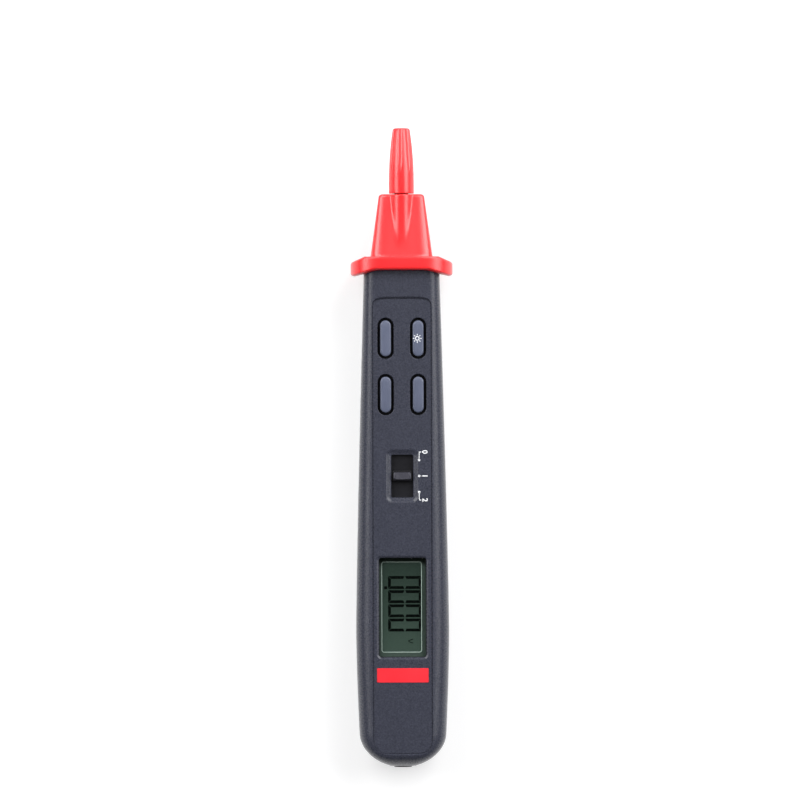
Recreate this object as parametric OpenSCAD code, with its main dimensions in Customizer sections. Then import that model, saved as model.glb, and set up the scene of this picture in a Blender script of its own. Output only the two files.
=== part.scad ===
// Pen multimeter: a slim hand-held meter with a probe in its nose, a finger guard and a sheath cap.
// It lies on its back. +Z leaves the display face, +Y points along the probe, +X is to the right.
// The origin is the centre of its footprint on the surface that it lies on, and all lengths are mm.
// Places along the body are measured from its tail.

/* [Body] */
// Length of the case shells, from the tail to the finger guard
body_length = 180.4; // [179.4:0.2:186]
// Widest part of the body, beside the display
belly_width = 33.8; // [33.4:0.1:36]
// Distance of the widest part from the tail
belly_from_tail = 50; // [44:1:56]
// Width of the body where it meets the finger guard
neck_width = 27.4; // [27:0.1:28.6]
// Width that the sides would have at the tail if its end weren't rounded
tail_width = 30.2; // [29.8:0.1:31]
// Length of the tail's rounding, seen from the front
tail_round = 12; // [11:0.5:13]
// Depth of the body from its back to its display face
body_depth = 25.5; // [25.2:0.1:27]
// How far the back lifts off the table behind the finger grip
grip_rise = 4.5; // [3.6:0.1:5]
// Height of the seam between the two case shells
parting_height = 13; // [12.6:0.1:13.4]
// Wall of the case shells
case_wall = 1.8; // [1.6:0.05:2]

/* [Guard and nose] */
// Width of the finger guard across its ears
guard_width = 37; // [36:0.2:40]
// Depth of the finger guard, front to back
guard_depth = 29; // [28.6:0.1:30]
// Thickness of the finger guard along the body
guard_thick = 4.9; // [4.5:0.1:5.5]
// How far the ears of the guard sweep back towards the tail
ear_sweep = 2.2; // [1.6:0.1:2.8]
// Length of the nose in front of the guard
nose_length = 22.7; // [21:0.1:25]
// Width of the nose at the guard
nose_base_width = 22.5; // [21:0.1:24]
// Width of the nose at its front end
nose_top_width = 16.3; // [15:0.1:18]
// Thickness of the nose at the guard
nose_base_depth = 9.8; // [9.2:0.1:12]
// Thickness of the nose at its front end
nose_top_depth = 4.2; // [3.8:0.1:5]
// Diameter of the barrel that runs through the nose
barrel_d = 8.8; // [8.4:0.1:9.2]

/* [Probe and cap] */
// Diameter of the probe pin
pin_d = 2; // [1.8:0.1:2.2]
// Diameter of the insulating sleeve round the pin
sleeve_d = 5; // [4.6:0.1:5.4]
// Length of the sleeve's collar in front of the nose
collar_length = 4; // [3:0.5:5]
// Length of the sheath cap
cap_length = 24; // [22:0.5:26]
// Diameter of the cap at its mouth
cap_d = 9.1; // [8.8:0.1:9.6]
// Diameter of the cap at its tip
cap_tip_d = 6.2; // [5.8:0.1:6.6]
// Number of flutes round the cap
flute_count = 8; // [6:1:8]

/* [Display face] */
// Width of the sunken front panel
panel_width = 21.7; // [21:0.1:22]
// Distance of the panel's lower end from the tail
panel_from_tail = 4.8; // [4.4:0.1:5.6]
// Distance of the panel's upper end from the guard
panel_from_guard = 9.4; // [8.6:0.1:11]
// Width of the display opening
lcd_width = 17.2; // [16.8:0.1:17.6]
// Length of the display opening
lcd_length = 36.1; // [35:0.1:37]
// Place of the display's centre, as a share of the body's length from the tail
lcd_place_share = 0.3215; // [0.316:0.0005:0.332]
// Width of the plain label patch
label_width = 18.7; // [17:0.1:19]
// Length of the label patch along the body
label_length = 5.2; // [4.6:0.1:5.6]
// Place of the label patch, as a share of the body's length from the tail
label_place_share = 0.1851; // [0.172:0.0005:0.188]

/* [Buttons] */
// Width of a button's opening
button_opening_width = 5.8; // [5.6:0.1:6]
// Length of a button's opening
button_opening_length = 14.9; // [14.4:0.1:15.4]
// Width of the gap round a button
button_gap = 0.8; // [0.5:0.05:0.9]
// Distance between the two columns of buttons
button_spread = 11.8; // [11.6:0.1:12.2]
// Place of the front pair of buttons, as a share of the body's length from the tail
button_place_share = 0.8625; // [0.86:0.0005:0.867]
// Distance between the two pairs along the body
button_pitch = 20.4; // [19.8:0.1:20.8]
// How far a button travels
button_travel = 0.6; // [0.4:0.05:0.7]

/* [Range slider] */
// Width of the slider's slot
slot_width = 8; // [7.6:0.1:8.4]
// Length of the slider's slot
slot_length = 15.6; // [15.2:0.1:16.4]
// Place of the slot's centre, as a share of the body's length from the tail
slot_place_share = 0.5859; // [0.58:0.0005:0.59]
// How far the slider travels each way from its middle place
slider_travel = 5.8; // [5:0.1:5.9]

/* [Battery bay] */
// Diameter of a cell
cell_d = 10.5; // [10.3:0.05:10.6]
// Length of a cell over its nub
cell_length = 44.5; // [44:0.1:44.8]
// Place of the bay's tail end, as a share of the body's length from the tail
bay_place_share = 0.1497; // [0.1475:0.0005:0.153]
// Thickness of the battery cover
cover_thick = 1.6; // [1.5:0.05:1.7]

/* [Common socket] */
// Diameter of the plug that the socket takes
plug_d = 4; // [3.9:0.05:4.1]
// Outer diameter of the socket body
socket_d = 10.6; // [10.4:0.1:10.8]
// Length of the socket body
socket_length = 20; // [19:0.5:20.5]

/* [Board and screws] */
// Width of the circuit board
board_width = 23.2; // [22.4:0.1:23.6]
// Thickness of the circuit board
board_thick = 1.6; // [1.5:0.05:1.7]
// Shank diameter of the screws
screw_d = 2.6; // [2.4:0.1:2.7]
// Head diameter of the screws
screw_head_d = 4.6; // [4.4:0.1:4.8]
// Shank length of the case screws
screw_length = 14; // [12:0.5:15]

/* [Hidden] */
$fn = 48;

// Clearances: overrun of cuts, between fixed neighbours, round moving pieces, round shafts
over = 0.5;
fit_gap = 0.1;
run_gap = 0.2;
shaft_gap = 0.05;
seam_gap = 0.1;

// Overall length, and the place of a point that lies s along the body from the tail
total_length = body_length + guard_thick + nose_length + cap_length;
function y_at(s) = s - total_length / 2;

// Case shell form: corner squareness of the sections, tail roundings, and the lift behind the grip
front_squareness = 7;
back_squareness = 4;
front_round = tail_round / 2;
back_round = tail_round * 7 / 6;
back_flat_cut = 1.2;
tail_tip = 0.4;
grip_start_share = 0.51;
grip_end_share = 0.8426;
grip_start = body_length * grip_start_share;
grip_end = body_length * grip_end_share;
arc_steps = 24;
tail_steps = 8;
body_steps = 17;

// Share of the full section that is left at s, where the tail rounds off over a length
function tail_share(s, length, power) =
    s >= length ? 1 : s <= 0 ? 0 : pow(1 - pow((length - s) / length, power), 1 / power);
function smooth_share(t) = let (u = min(1, max(0, t))) u * u * (3 - 2 * u);

// Half width of the body at s, front height above and back depth below the seam
function side_slim(s) = s < belly_from_tail
    ? (belly_width - tail_width) / 2 * pow((belly_from_tail - s) / belly_from_tail, 1.6)
    : (belly_width - neck_width) / 2 * pow((s - belly_from_tail) / (body_length - belly_from_tail), 1.25);
function half_width(s, inset) = (belly_width / 2 - side_slim(s) - inset)
    * tail_share(s - inset, tail_round - inset, 2);
function front_height(s, inset) = (body_depth - parting_height - seam_gap / 2 - inset)
    * tail_share(s - inset, front_round - inset, 2.5);
function back_floor(s) = -back_flat_cut
    + (grip_rise + back_flat_cut) * smooth_share((s - grip_start) / (grip_end - grip_start));
function back_depth(s, inset) = (parting_height - seam_gap / 2 - back_floor(s) - inset)
    * tail_share(s - inset, back_round - inset, 2);

// A signed power keeps each quadrant of a superellipse on its own side
function soft(value, squareness) = sign(value) * pow(abs(value), 2 / squareness);
// A point of the section at s: angles from 0 to 180 are the front shell, 180 to 360 the rear
function section_point(s, inset, a) = a <= 180
    ? [half_width(s, inset) * soft(cos(a), front_squareness),
       parting_height + seam_gap / 2 + front_height(s, inset) * soft(sin(a), front_squareness)]
    : [half_width(s, inset) * soft(cos(a), back_squareness),
       max(inset, parting_height - seam_gap / 2
           + back_depth(s, inset) * soft(sin(a), back_squareness))];

// Stations along the shells, close together where the tail rounds off
tail_start_angle = acos(1 - tail_tip / tail_round);
function station(k) = k <= tail_steps
    ? tail_round * (1 - cos(tail_start_angle + (90 - tail_start_angle) * k / tail_steps))
    : tail_round + (body_length - tail_round) * (k - tail_steps) / body_steps;
function inner_station(s) = s + case_wall * (body_length - s) / (body_length - tail_tip);

// Heights of the stack of pieces, from the back to the display face
front_inner = body_depth - case_wall;
panel_sink = 0.7;
panel_z = body_depth - panel_sink;
cell_ceiling_gap = 0.25;
cell_cover_gap = 1.05;
bay_top = cover_thick + cell_cover_gap + cell_d + cell_ceiling_gap;
bay_ceiling = 1.2;
board_rest = 0.4;
board_z = bay_top + bay_ceiling + board_rest;
board_top = board_z + board_thick;
face_room = front_inner - board_top;
probe_z = guard_depth / 2;
com_rise = 1;
com_z = parting_height + com_rise;

// Places of the nose end
guard_s = body_length + guard_thick;
nose_s = guard_s + nose_length;
spigot_length = 8;
spigot_wall = 1.6;

// Circuit board: from behind the socket to the spigot of the nose
board_socket_gap = 2;
board_nose_gap = 3.4;
board_start = socket_length + board_socket_gap;
board_end = body_length - spigot_length - board_nose_gap;
board_length = board_end - board_start;
function on_board(share) = board_start + board_length * share;

// Places on the face
panel_top_s = body_length - panel_from_guard;
lcd_from_tail = body_length * lcd_place_share;
label_from_tail = body_length * label_place_share;
slot_from_tail = body_length * slot_place_share;
front_row_s = body_length * button_place_share;
button_rows = [front_row_s, front_row_s - button_pitch];
button_width = button_opening_width - 2 * button_gap;
button_length = button_opening_length - 2 * button_gap;

// Places of the battery bay
bay_from_tail = body_length * bay_place_share;
contact_thick = 0.5;
dimple = 0.4;
spring_length = 3.6;
cell_gap = 0.6;
cell_pitch = cell_d + cell_gap;
cell_z = bay_top - cell_ceiling_gap - cell_d / 2;
cell_stand = contact_thick + dimple + fit_gap;
bay_length = cell_stand + cell_length + spring_length + contact_thick + fit_gap;
bay_end = bay_from_tail + bay_length;
bay_width = cell_pitch + cell_d + cell_gap;
bay_wall = 1.4;
cover_lap = 1.4;
cover_foot = 2.6;
cover_tab = 10;
cover_width = bay_width + 2 * cover_lap;
cover_start = bay_from_tail - cover_foot;
cover_end = bay_end + cover_tab;
cover_corner = 3;
cover_screw_s = bay_end + cover_tab / 2;
pad_margin = 1.6;
pad_top = cover_thick + case_wall;

// Screws: the tail pair and the middle pair, and how deep their heads sit
tail_screw_x = 9.4;
tail_screw_s = 14;
middle_screw_x = 8.8;
thread_wall = 1.3;
front_boss_d = screw_d + 2 * thread_wall;
screw_button_gap = 3.1;
middle_screw_s = button_rows[1] - button_opening_length / 2 - front_boss_d / 2 - screw_button_gap;
screw_places = [[tail_screw_x, tail_screw_s], [middle_screw_x, middle_screw_s]];
screw_sink = 2.4;
screw_head_thick = 1.6;
boss_rim = 0.9;
boss_d = screw_head_d + 2 * boss_rim;
boss_foot = case_wall * 0.75;
function screw_seat(s) = max(0, back_floor(s)) + screw_sink;

// Triangles between the rings of a closed loft. The rings run alike and flip turns them inside out.
function loft_faces(rings, count, flip) = let (
    sides = [for (k = [0 : rings - 2]) for (i = [0 : count - 1]) let (
        a = k * count + i, b = k * count + (i + 1) % count, c = b + count, d = a + count)
        each [[a, b, c], [a, c, d]]],
    first = [for (i = [0 : count - 1]) count - 1 - i],
    last = [for (i = [0 : count - 1]) (rings - 1) * count + i],
    all = concat(sides, [first], [last]))
    flip ? [for (f = all) [for (i = [0 : len(f) - 1]) f[len(f) - 1 - i]]] : all;

module loft(rings, flip = false) {
    polyhedron(
        points = [for (r = rings) each r],
        faces = loft_faces(len(rings), len(rings[0]), flip),
        convexity = 6
    );
}

// Outline of a rounded rectangle, and of a loft ring made from it at height z
corner_steps = 4;
function rounded_outline(width, length, r) = [
    for (q = [0 : 3]) for (i = [0 : corner_steps]) let (a = q * 90 + i * 90 / corner_steps)
        [(q == 0 || q == 3 ? 1 : -1) * (width / 2 - r) + r * cos(a),
         (q < 2 ? 1 : -1) * (length / 2 - r) + r * sin(a)]];
function ring_at(outline, z) = [for (p = outline) [p[0], p[1], z]];

// Places children at a point of the face plane, s from the tail and z above the table
module at(s, z = 0, x = 0) {
    translate([x, y_at(s), z]) children();
}

// Extrudes a flat outline in x and z along the body, from s0 to s1
module along_body(s0, s1) {
    translate([0, y_at(s1), 0]) rotate([90, 0, 0]) linear_extrude(s1 - s0) children();
}

// A cylinder along the body on the axis at height z, from s0 to s1
module rod(s0, s1, z, r, x = 0) {
    translate([x, y_at(s0), z]) rotate([-90, 0, 0]) cylinder(h = s1 - s0, r = r);
}

// Flat rounded rectangle
module rounded(width, length, r) {
    square([width - 2 * r, length], center = true);
    square([width, length - 2 * r], center = true);
    for (x = [-1, 1], y = [-1, 1])
        translate([x * (width / 2 - r), y * (length / 2 - r)]) circle(r = r);
}

module plate(width, length, height, r) {
    linear_extrude(height) rounded(width, length, r);
}

module block(width, length, height) {
    translate([-width / 2, -length / 2, 0]) cube([width, length, height]);
}

// One half of the case: an open shell between its outer and inner sections
module half_shell(from_angle) {
    count = arc_steps + 1;
    steps = tail_steps + body_steps;
    angles = [for (i = [0 : arc_steps]) from_angle + 180 * i / arc_steps];
    points = [for (k = [0 : steps]) let (s = station(k), t = inner_station(s)) each concat(
        [for (a = angles) let (p = section_point(s, 0, a)) [p[0], y_at(s), p[1]]],
        [for (a = angles) let (p = section_point(t, case_wall, a)) [p[0], y_at(t), p[1]]])];
    skin = [for (k = [0 : steps - 1]) for (i = [0 : arc_steps - 1]) let (
        a = 2 * k * count + i, b = a + 1, c = b + 2 * count, d = a + 2 * count)
        each [[a, b, c], [a, c, d],
              [c + count, b + count, a + count], [d + count, c + count, a + count]]];
    rims = [for (k = [0 : steps - 1]) let (
        a = 2 * k * count, b = a + 2 * count, c = a + arc_steps, d = b + arc_steps)
        each [[a, b, b + count], [a, b + count, a + count],
              [c, c + count, d + count], [c, d + count, d]]];
    z = 2 * steps * count;
    ends = [for (i = [0 : arc_steps - 1])
        each [[i, i + count, i + 1 + count], [i, i + 1 + count, i + 1],
              [z + i, z + i + 1, z + i + 1 + count], [z + i, z + i + 1 + count, z + i + count]]];
    polyhedron(points = points, faces = concat(skin, rims, ends), convexity = 8);
}

// Panel outline: straight sides, round lower corners and a gently arched upper end
panel_corner = 4.6;
panel_top_corner = 2;
panel_arch = 1.7;
panel_arch_steps = 12;
panel_groove = 0.5;
groove_depth = 0.25;
function panel_outline(inset) = let (
    w = panel_width / 2 - inset,
    r = panel_corner - inset,
    foot = panel_from_tail + panel_corner,
    arch = panel_arch + panel_top_corner - inset) concat(
    [for (i = [0 : 6]) let (a = 270 + 15 * i) [w - r + r * cos(a), foot + r * sin(a)]],
    [for (i = [0 : panel_arch_steps]) let (a = 180 * i / panel_arch_steps)
        [w * soft(cos(a), 6),
         panel_top_s - panel_arch - panel_top_corner + arch * soft(sin(a), 3)]],
    [for (i = [0 : 6]) let (a = 180 + 15 * i) [-w + r + r * cos(a), foot + r * sin(a)]]);

module panel_pocket() {
    translate([0, y_at(0), panel_z])
        linear_extrude(panel_sink + over) polygon(panel_outline(0));
    translate([0, y_at(0), panel_z - groove_depth]) linear_extrude(groove_depth + over) difference() {
        polygon(panel_outline(0));
        polygon(panel_outline(panel_groove));
    }
}

// Bevelled mouth of an opening in the panel: wide at the panel, narrow below it
module bevelled_mouth(width, length, r, flare, depth) {
    grow = flare * over / depth;
    loft([
        ring_at(rounded_outline(width, length, r), panel_z - depth),
        ring_at(rounded_outline(width + 2 * (flare + grow), length + 2 * (flare + grow),
                                r + flare + grow), panel_z + over)
    ], flip = true);
}

// Slider surround
recess_flare = 0.9;
recess_depth = 1;
recess_margin = 1;
slider_pad_share = 0.183;
slider_pad_thick = face_room * slider_pad_share;
slider_pad_margin = 1.6;
recess_width = slot_width + 2 * recess_margin;
recess_length = slot_length + 2 * recess_margin;
slider_pad_z = panel_z - recess_depth - slider_pad_thick;
slot_corner = 0.6;
lcd_corner = 1;
lcd_bevel = 0.5;
label_sink = 0.15;
label_stand = 0.1;

// Groove in both shells round the flange of the common socket
flange_s = 3.6;
flange_thick = 1.4;
flange_lap = 0.8;
module flange_groove() {
    rod(flange_s - fit_gap, flange_s + flange_thick + fit_gap, com_z,
        socket_d / 2 + flange_lap + fit_gap);
}

module front_case() {
    color("#43434e") difference() {
        union() {
            half_shell(0);
            for (p = screw_places, x = [-1, 1]) at(p[1], 0, x * p[0])
                translate([0, 0, parting_height + fit_gap])
                    cylinder(h = front_inner + over - parting_height - fit_gap, d = front_boss_d);
            at(slot_from_tail, slider_pad_z)
                block(recess_width + 2 * slider_pad_margin, recess_length + 2 * slider_pad_margin,
                      front_inner + over - slider_pad_z);
        }
        panel_pocket();
        for (p = screw_places, x = [-1, 1]) at(p[1], parting_height, x * p[0])
            cylinder(h = screw_seat(p[1]) + screw_length + over - parting_height,
                     r = screw_d / 2 + shaft_gap);
        for (s = button_rows, x = [-1, 1]) at(s, front_inner - over, x * button_spread / 2)
            plate(button_opening_width, button_opening_length, case_wall + 2 * over,
                  button_opening_width / 2 - fit_gap / 2);
        at(slot_from_tail, slider_pad_z - over)
            plate(slot_width, slot_length, case_wall + slider_pad_thick + 2 * over, slot_corner);
        at(slot_from_tail) bevelled_mouth(recess_width, recess_length, slot_corner,
                                          recess_flare, recess_depth);
        at(lcd_from_tail, front_inner - over)
            plate(lcd_width, lcd_length, case_wall + 2 * over, lcd_corner);
        at(lcd_from_tail) bevelled_mouth(lcd_width, lcd_length, lcd_corner, lcd_bevel, lcd_bevel);
        at(label_from_tail, panel_z - label_sink)
            plate(label_width + 2 * shaft_gap, label_length + 2 * shaft_gap, over, fit_gap);
        rod(-over, socket_length, com_z, socket_d / 2 + shaft_gap);
        flange_groove();
    }
}

// Rear case: battery bay with its own walls and ceiling, cover seat, screw bosses and rests
cradle_s = 15.5;
cradle_thick = 1.5;
post_x = 9;
post_place_share = 0.925;
post_s = on_board(post_place_share);
post_d = 3;
buzzer_d = 12;
buzzer_gap = 1;
buzzer_s = cover_end + pad_margin + buzzer_gap + buzzer_d / 2;
buzzer_ring = 1;
buzzer_stand = 0.8;
buzzer_z = max(0, back_floor(buzzer_s + buzzer_d / 2)) + case_wall + buzzer_stand;
contact_width = 9;
tab_width = 2.4;
rest_width = 1.2;
cover_boss_d = 7.4;
insert_d = 4.4;
insert_length = 5;
cover_boss_rise = 1.6;
cover_boss_top = cover_thick + cover_boss_rise;

module cover_outline(gap) {
    translate([0, y_at((cover_start + cover_end) / 2)])
        rounded(cover_width + 2 * gap, cover_end - cover_start + 2 * gap, cover_corner + gap);
}

module rear_case() {
    insert_top = cover_boss_top + fit_gap + insert_length;
    color("#3b3a44") difference() {
        union() {
            half_shell(180);
            // Thick floor round the cover seat, and the walls and ceiling of the bay
            at((cover_start + cover_end) / 2, case_wall / 2)
                block(cover_width + 2 * fit_gap + pad_margin / 2,
                      cover_end - cover_start + 2 * pad_margin, pad_top - case_wall / 2);
            at((bay_from_tail + bay_end) / 2, case_wall)
                block(bay_width + 2 * bay_wall, bay_length + 2 * bay_wall,
                      bay_top + bay_ceiling - case_wall);
            for (x = [-1, 1]) at((bay_from_tail + bay_end) / 2, bay_top, x * bay_width / 2)
                block(rest_width, bay_length, bay_ceiling + board_rest);
            at(cover_screw_s, case_wall)
                cylinder(h = insert_top - case_wall, d = cover_boss_d + 2 * bay_wall);
            for (p = screw_places, x = [-1, 1]) at(p[1], 0, x * p[0])
                translate([0, 0, max(0, back_floor(p[1])) + boss_foot])
                    cylinder(h = parting_height - seam_gap / 2 - fit_gap
                             - max(0, back_floor(p[1])) - boss_foot, d = boss_d);
            for (x = [-1, 1]) at(post_s, grip_rise + case_wall / 2, x * post_x)
                cylinder(h = board_z - grip_rise - case_wall / 2, d = post_d);
            at(cradle_s + cradle_thick / 2, case_wall / 2)
                block(socket_d + 2 * case_wall, cradle_thick, com_z - case_wall * 2);
            at(buzzer_s, case_wall / 2) difference() {
                cylinder(h = buzzer_z - case_wall / 2, d = buzzer_d);
                cylinder(h = buzzer_z, d = buzzer_d - 4 * buzzer_ring);
            }
        }
        // Cover seat, bay, and the seats of the cover's boss and its threaded insert
        translate([0, 0, -over]) linear_extrude(over + cover_thick + fit_gap) cover_outline(fit_gap);
        at((bay_from_tail + bay_end) / 2, 0)
            block(bay_width, bay_length, bay_top);
        at(cover_screw_s, 0) {
            cylinder(h = cover_boss_top + fit_gap, d = cover_boss_d + 2 * fit_gap);
            cylinder(h = insert_top, d = insert_d + 2 * shaft_gap);
            cylinder(h = bay_top + over, d = screw_d + 2 * fit_gap);
        }
        for (p = screw_places, x = [-1, 1]) at(p[1], 0, x * p[0]) {
            translate([0, 0, -over])
                cylinder(h = screw_seat(p[1]) + over, d = screw_head_d + 2 * fit_gap);
            cylinder(h = parting_height, r = screw_d / 2 + shaft_gap);
        }
        // Slots for the solder tabs of the battery contacts
        for (x = [-1, 1], s = [bay_from_tail, bay_end]) at(s, bay_top - over, x * cell_pitch / 2)
            block(tab_width + 2 * fit_gap, 2 * contact_thick + 4 * fit_gap, bay_ceiling + 2 * over);
        rod(-over, socket_length + over, com_z, socket_d / 2 + shaft_gap);
        flange_groove();
    }
}

// Section through the nose and guard, round the probe axis
nose_steps = 12;
ring_count = 48;
nose_squareness = 4;
guard_squareness = 3.4;
blend_power = 12;
guard_edge = 1.2;
front_ear_start = 13.4;
rear_ear_start = 9.8;
rear_ear_end = 17;
nose_tip_round = 1.3;
nose_foot = 1.2;

// Distance from the probe axis to a superellipse in direction a
function squircle(width, depth, squareness, a) =
    pow(pow(abs(cos(a)) / (width / 2), squareness)
        + pow(abs(sin(a)) / (depth / 2), squareness), -1 / squareness);
function blended(p, q) = pow(pow(p, blend_power) + pow(q, blend_power), 1 / blend_power);
// How far the guard's rear and front faces sweep back at a distance x from its middle
function ramp(x, from, to) = ear_sweep * min(1, max(0, abs(x) - from) / (to - from));
function rear_sweep(x) = ramp(x, rear_ear_start, rear_ear_end);
function front_sweep(x) = ramp(x, front_ear_start, guard_width / 2);
function guard_ring(s, inset, front) = [for (i = [0 : ring_count - 1]) let (
    a = 360 * i / ring_count,
    r = squircle(guard_width - 2 * inset, guard_depth - 2 * inset, guard_squareness, a),
    x = r * cos(a))
    [x, y_at(s - (front ? front_sweep(x) : rear_sweep(x))), probe_z + r * sin(a)]];
function round_off(d, r) = d >= r ? 0 : r - sqrt(r * r - (r - d) * (r - d));
function nose_ring(t) = let (
    s = guard_s + nose_length * t,
    cut = round_off(nose_length * (1 - t), nose_tip_round),
    foot = nose_foot * pow(max(0, 1 - nose_length * t / (3 * nose_foot)), 2),
    width = nose_base_width + (nose_top_width - nose_base_width) * t - 2 * cut + foot,
    depth = nose_base_depth + (nose_top_depth - nose_base_depth) * t - cut + foot)
    [for (i = [0 : ring_count - 1]) let (
        a = 360 * i / ring_count,
        r = blended(squircle(width, depth, nose_squareness, a), barrel_d / 2),
        x = r * cos(a))
        [x, y_at(s), probe_z + r * sin(a)]];
nose_shares = [0, 0.04, 0.08, 0.13, 0.2, 0.3, 0.42, 0.54, 0.66, 0.78, 0.88, 0.945, 0.975, 0.992, 1];

function section_outline(s, inset) = [for (i = [0 : 2 * arc_steps - 1])
    section_point(s, inset, 180 * i / arc_steps)];

module nose_guard() {
    web = 1.4;
    color("#e8262a") difference() {
        union() {
            difference() {
                loft(concat(
                    [guard_ring(body_length, guard_depth / 2 - barrel_d / 2, false),
                     guard_ring(body_length, guard_edge * 1.6, false),
                     guard_ring(body_length + guard_edge * 0.3, guard_edge * 0.5, false),
                     guard_ring(body_length + guard_edge, 0, false),
                     guard_ring(guard_s - guard_edge * 0.7, 0, true),
                     guard_ring(guard_s - guard_edge * 0.25, guard_edge * 0.25, true),
                     guard_ring(guard_s, guard_edge * 0.8, true)],
                    [for (t = nose_shares) nose_ring(t)]));
                along_body(body_length - ear_sweep - over, body_length)
                    polygon(section_outline(body_length, -2 * fit_gap));
            }
            along_body(body_length - spigot_length, body_length + web)
                polygon(section_outline(body_length, case_wall + fit_gap));
        }
        along_body(body_length - spigot_length - over, body_length - web)
            difference() {
                polygon(section_outline(body_length, case_wall + fit_gap + spigot_wall));
                translate([0, probe_z]) circle(d = sleeve_d + 2 * spigot_wall);
            }
        rod(body_length - spigot_length - over, nose_s + over, probe_z, sleeve_d / 2 + shaft_gap);
    }
}

// A pan-head screw that points up, with its head's underside at z = 0
module screw(length) {
    difference() {
        union() {
            translate([0, 0, -screw_head_thick])
                cylinder(h = screw_head_thick, d1 = screw_head_d * 0.82, d2 = screw_head_d);
            cylinder(h = length - screw_d / 2, d = screw_d);
            translate([0, 0, length - screw_d / 2])
                cylinder(h = screw_d / 2, d1 = screw_d, d2 = screw_d * 0.2);
        }
        for (a = [0, 90]) rotate(a) translate([0, 0, -screw_head_thick - over])
            block(screw_head_d * 0.14, screw_head_d * 0.6, over + screw_head_thick * 0.6);
    }
}

module case_screws() {
    color("silver") for (p = screw_places, x = [-1, 1])
        at(p[1], screw_seat(p[1]), x * p[0]) screw(screw_length);
}

module label_patch() {
    color("#d8232a") at(label_from_tail, panel_z - label_sink)
        plate(label_width, label_length, label_sink + label_stand, shaft_gap);
}

// Display stack, from the window down to the board
window_lap = 1.2;
window_share = 0.141;
window_thick = face_room * window_share;
window_sink = 0.5;
glass_share = 0.282;
glass_thick = face_room * glass_share;
glass_margin = 0.3;
frame_wall = 1.4;
zebra_width = 1.6;
backlight_share = 0.42;
backlight_thick = face_room * backlight_share;
led_width = 3;
led_length = 2;
led_share = 0.197;
led_height = face_room * led_share;
window_z = front_inner - fit_gap - window_thick;
glass_z = window_z - fit_gap - glass_thick;
glass_width = lcd_width - 2 * glass_margin;
glass_length = lcd_length - 2 * glass_margin;

module lcd_window() {
    color([0.75, 0.8, 0.78, 0.5]) at(lcd_from_tail, window_z) {
        plate(lcd_width + 2 * window_lap, lcd_length + 2 * window_lap, window_thick, lcd_corner);
        plate(lcd_width - 2 * fit_gap, lcd_length - 2 * fit_gap,
              panel_z - window_sink - window_z, lcd_corner - fit_gap);
    }
}

module lcd_glass() {
    color("#8fa094") at(lcd_from_tail, glass_z)
        block(glass_width, glass_length, glass_thick);
}

module lcd_frame() {
    inner = [glass_width + 2 * fit_gap, glass_length + 2 * fit_gap];
    low = board_top + fit_gap / 2;
    color("#202024") at(lcd_from_tail, low) difference() {
        block(inner[0] + 2 * frame_wall, inner[1] + 2 * frame_wall, window_z - fit_gap - low);
        translate([0, 0, -over]) block(inner[0], inner[1], window_z - low + 2 * over);
    }
}

module lcd_backlight() {
    color("#f2f4ee") at(lcd_from_tail, glass_z - fit_gap - backlight_thick)
        block(glass_width - 2 * zebra_width - 4 * fit_gap, glass_length - 2 * led_length,
              backlight_thick);
}

module backlight_led() {
    color("white") at(lcd_from_tail + glass_length / 2 - led_length / 2,
                      board_top + fit_gap / 2)
        block(led_width, led_length - 2 * fit_gap, led_height);
}

module zebra_strips() {
    color("#5a4a4a") for (x = [-1, 1])
        at(lcd_from_tail, board_top + fit_gap / 2, x * (glass_width - zebra_width) / 2)
            block(zebra_width - fit_gap, glass_length - 2 * led_length,
                  glass_z - board_top - fit_gap);
}

module main_board() {
    notch_d = front_boss_d + 6 * fit_gap;
    color("#1f6b3a") difference() {
        at((board_start + board_end) / 2, board_z) plate(board_width, board_length, board_thick, pin_d / 2);
        for (p = screw_places, x = [-1, 1]) at(p[1], board_z - over, x * p[0])
            cylinder(h = board_thick + 2 * over, d = notch_d);
        for (x = [-1, 1], s = [bay_from_tail, bay_end]) at(s, board_z - over, x * cell_pitch / 2)
            block(tab_width + 2 * fit_gap, 2 * contact_thick + 4 * fit_gap, board_thick + 2 * over);
    }
}

// Components that hang below the board in the hollow behind the slider and the buttons
chip_size = 9;
chip_thick = 1.4;
chip_place_share = 0.5306;
chip_s = on_board(chip_place_share);
chip_pin_count = 11;
chip_pin = 0.32;
chip_pin_reach = 1.1;

module meter_chip() {
    color("#25262a") at(chip_s, board_z - chip_thick - fit_gap) {
        block(chip_size, chip_size, chip_thick);
        for (q = [0 : 3]) rotate(90 * q) for (i = [0 : chip_pin_count - 1])
            translate([(i - (chip_pin_count - 1) / 2) * chip_size / (chip_pin_count + 1),
                       chip_size / 2 + chip_pin_reach / 2 - chip_pin / 2, chip_thick / 2])
                block(chip_pin, chip_pin_reach + chip_pin, chip_thick / 2);
    }
}

crystal_size = [10, 4, 3.4];
crystal_place_share = 0.605;
crystal_s = on_board(crystal_place_share);
module crystal() {
    color("silver") at(crystal_s, board_z - fit_gap / 2 - crystal_size[2])
        plate(crystal_size[0], crystal_size[1], crystal_size[2], crystal_size[1] * 0.45);
}

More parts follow.
